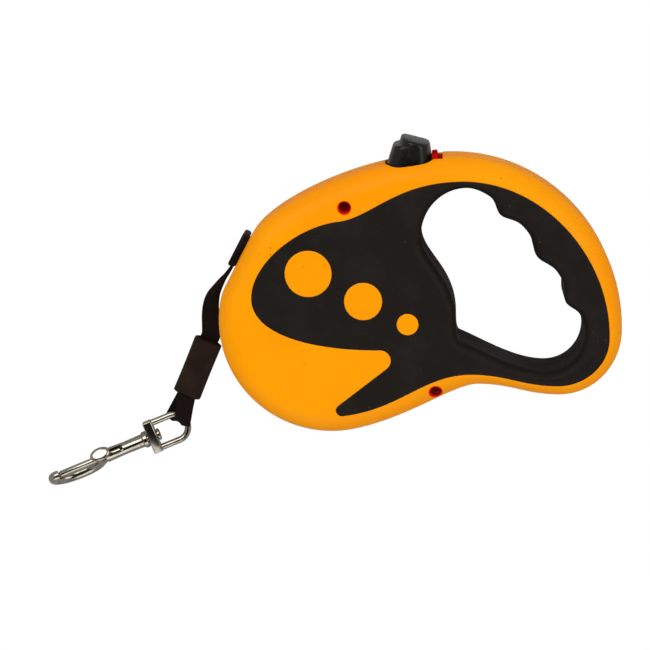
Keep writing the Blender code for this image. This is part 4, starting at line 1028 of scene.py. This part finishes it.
def boltPiece(s):
    # a rod, a stalk and a thumb piece: a flat ellipsoid with a dished top
    r, start, tip = s["bolt"], s["boltStart"], s["boltReach"]
    rod = lathe([(start, r - 0.0003), (start + 0.0003, r), (tip - 0.0008, r), (tip - 0.0002, r - 0.0003),
                 (tip, r - 0.0007)], 32)
    long, wide, high = s["thumb"]
    u, (c, w) = np.linspace(0.08, math.pi - 0.08, 20)[:, None], circleWays(40).T
    z = high * np.cos(u)
    z = np.where(z > 0, z * (1 - s["dish"] + s["dish"] * np.sin(u) ** 2), z)
    rings = np.stack(np.broadcast_arrays(long * np.sin(u) * c, wide * np.sin(u) * w, z), -1) + s["thumbSpot"]
    return united("snapBolt", [rod, blockSurface(*s["stalk"], s["soften"]), solidRows(rings)], hookFrame, nickel)


snapPieces = [eyePiece(snap), hookPiece(snap), boltPiece(snap)]
for piece, body, node in zip(snapPieces, ("eye", "hook", "bolt"), ("snap_eye", "snap_hook", "snap_bolt")):
    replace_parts(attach(piece, body), node)
    print(piece.name, len(piece.data.polygons), "faces")


# the tape wound on the reel: a spiral of turns, r = inner + pitch * turns
coil = {
    "inner": 0.0192, "outer": 0.0337, "room": 0.0006, "pitch": 0.00105, "perTurn": 96, "low": 0.0120, "high": 0.0200,
}


def coilPiece(c):
    # the tape's band carried along the spiral
    turns = (c["outer"] - c["inner"] - 2 * c["room"]) / c["pitch"]
    angle = np.linspace(0, 2 * math.pi * turns, int(turns * c["perTurn"]))
    radius = c["inner"] + c["room"] + c["pitch"] * angle / (2 * math.pi)
    middle = np.full(len(angle), (c["low"] + c["high"]) / 2)
    run = np.column_stack([radius * np.cos(angle), radius * np.sin(angle), middle])
    sides = np.repeat(np.array([[0, 0, 1.0]]), len(run), 0)
    return bandPiece("woundTape", run, sides, np.full(len(run), c["high"] - c["low"]))


woundTape = coilPiece(coil)
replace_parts(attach(woundTape, "reel"), "wound_tape")


# pieces kept from the CAD model: merged edges, smooth rounds, their own finish
kept = {
    "tape_outlet": outletPlastic, "lock_slide": redPlastic,
    "brake_pawl": greyPlastic, "reel_drum": greyPlastic, "reel_cover": greyPlastic,
    "axle": steel, "mainspring": steel, "button_spring": steel, "bolt_spring": steel, "pawl_pin": steel,
    "housing_screw_1": screwRedReflection, "housing_screw_2": screwRedReflection,
}
for name, material in kept.items():
    node = nodes[name]
    node.data.materials.clear()
    node.data.materials.append(material)
    node.data.polygons.foreach_set("use_smooth", [True] * len(node.data.polygons))
    weld = node.modifiers.new("merge", "WELD")
    weld.merge_threshold = 1e-5
    split = node.modifiers.new("creases", "EDGE_SPLIT")
    split.split_angle = math.radians(35)
print("CAD pieces dressed:", len(kept))


# stage and light: pale floor, soft boxes, even sky
studio = {
    "floor": (0.50, 0.50, 0.50), "floorHalf": 3.0, "floorLevel": -0.0002, "floorGlow": 0.97, "white": 1.03,
    "card": (0.01, 0.01, 0.01), "cardHalf": 0.8, "cardLevel": 1.1, "sky": 0.55, "aim": (0.02, 0.0, 0.016),
    "boxes": (((-0.35, 0.55, 0.95), 0.80, 7.5), ((0.65, 0.25, 0.80), 0.60, 3.2), ((0.0, -0.75, 0.70), 0.70, 2.6)),
}


def sheetAt(name, half, level, face, material):
    # a level square sheet that isn't part of the object
    corners = [(-half, -half, level), (half, -half, level), (half, half, level), (-half, half, level)]
    sheet = addMesh(name, corners, [face], material)
    return sheet


def makeStage(s):
    # paper that the camera sees as white and the object as grey
    floor = sheetAt("floor", s["floorHalf"], s["floorLevel"], (0, 1, 2, 3), bpy.data.materials.new("floorPaper"))
    material = floor.data.materials[0]
    material.use_nodes = True
    tree = material.node_tree
    tree.nodes.clear()
    start = Wire(tree)
    rays = start.add("ShaderNodeLightPath")
    path = rays.socket.node.outputs
    seen = Wire(tree, path["Is Camera Ray"]) + Wire(tree, path["Is Transmission Ray"])
    paper = start.add("ShaderNodeBsdfDiffuse", None, {"Color": rgba(*s["floor"])})
    white = start.add("ShaderNodeEmission", None, {"Color": rgba(1, 1, 1), "Strength": s["white"]})
    both = start.add("ShaderNodeMixShader", None, {0: seen.over(0, 1) * s["floorGlow"], 1: paper, 2: white})
    end = tree.nodes.new("ShaderNodeOutputMaterial")
    tree.links.new(both.socket, end.inputs[0])
    # a dark card above the object, for the metal to mirror
    sheetAt("card", s["cardHalf"], s["cardLevel"], (0, 3, 2, 1), newMaterial("cardBlack", s["card"], 0.9)[0])
    world = bpy.data.worlds.new("sky")
    scene.world = world
    world.use_nodes = True
    sky = world.node_tree.nodes["Background"].inputs
    sky[0].default_value, sky[1].default_value = rgba(1, 1, 1), s["sky"]
    for number, (spot, width, power) in enumerate(s["boxes"]):
        lamp = bpy.data.lights.new(f"softBox{number}", "AREA")
        lamp.shape, lamp.size, lamp.energy = "SQUARE", width, power
        box = bpy.data.objects.new(lamp.name, lamp)
        scene.collection.objects.link(box)
        box.location = spot
        box.rotation_mode = "QUATERNION"
        box.rotation_quaternion = (Vector(s["aim"]) - Vector(spot)).to_track_quat("-Z", "Y")


makeStage(studio)
print("stage set")
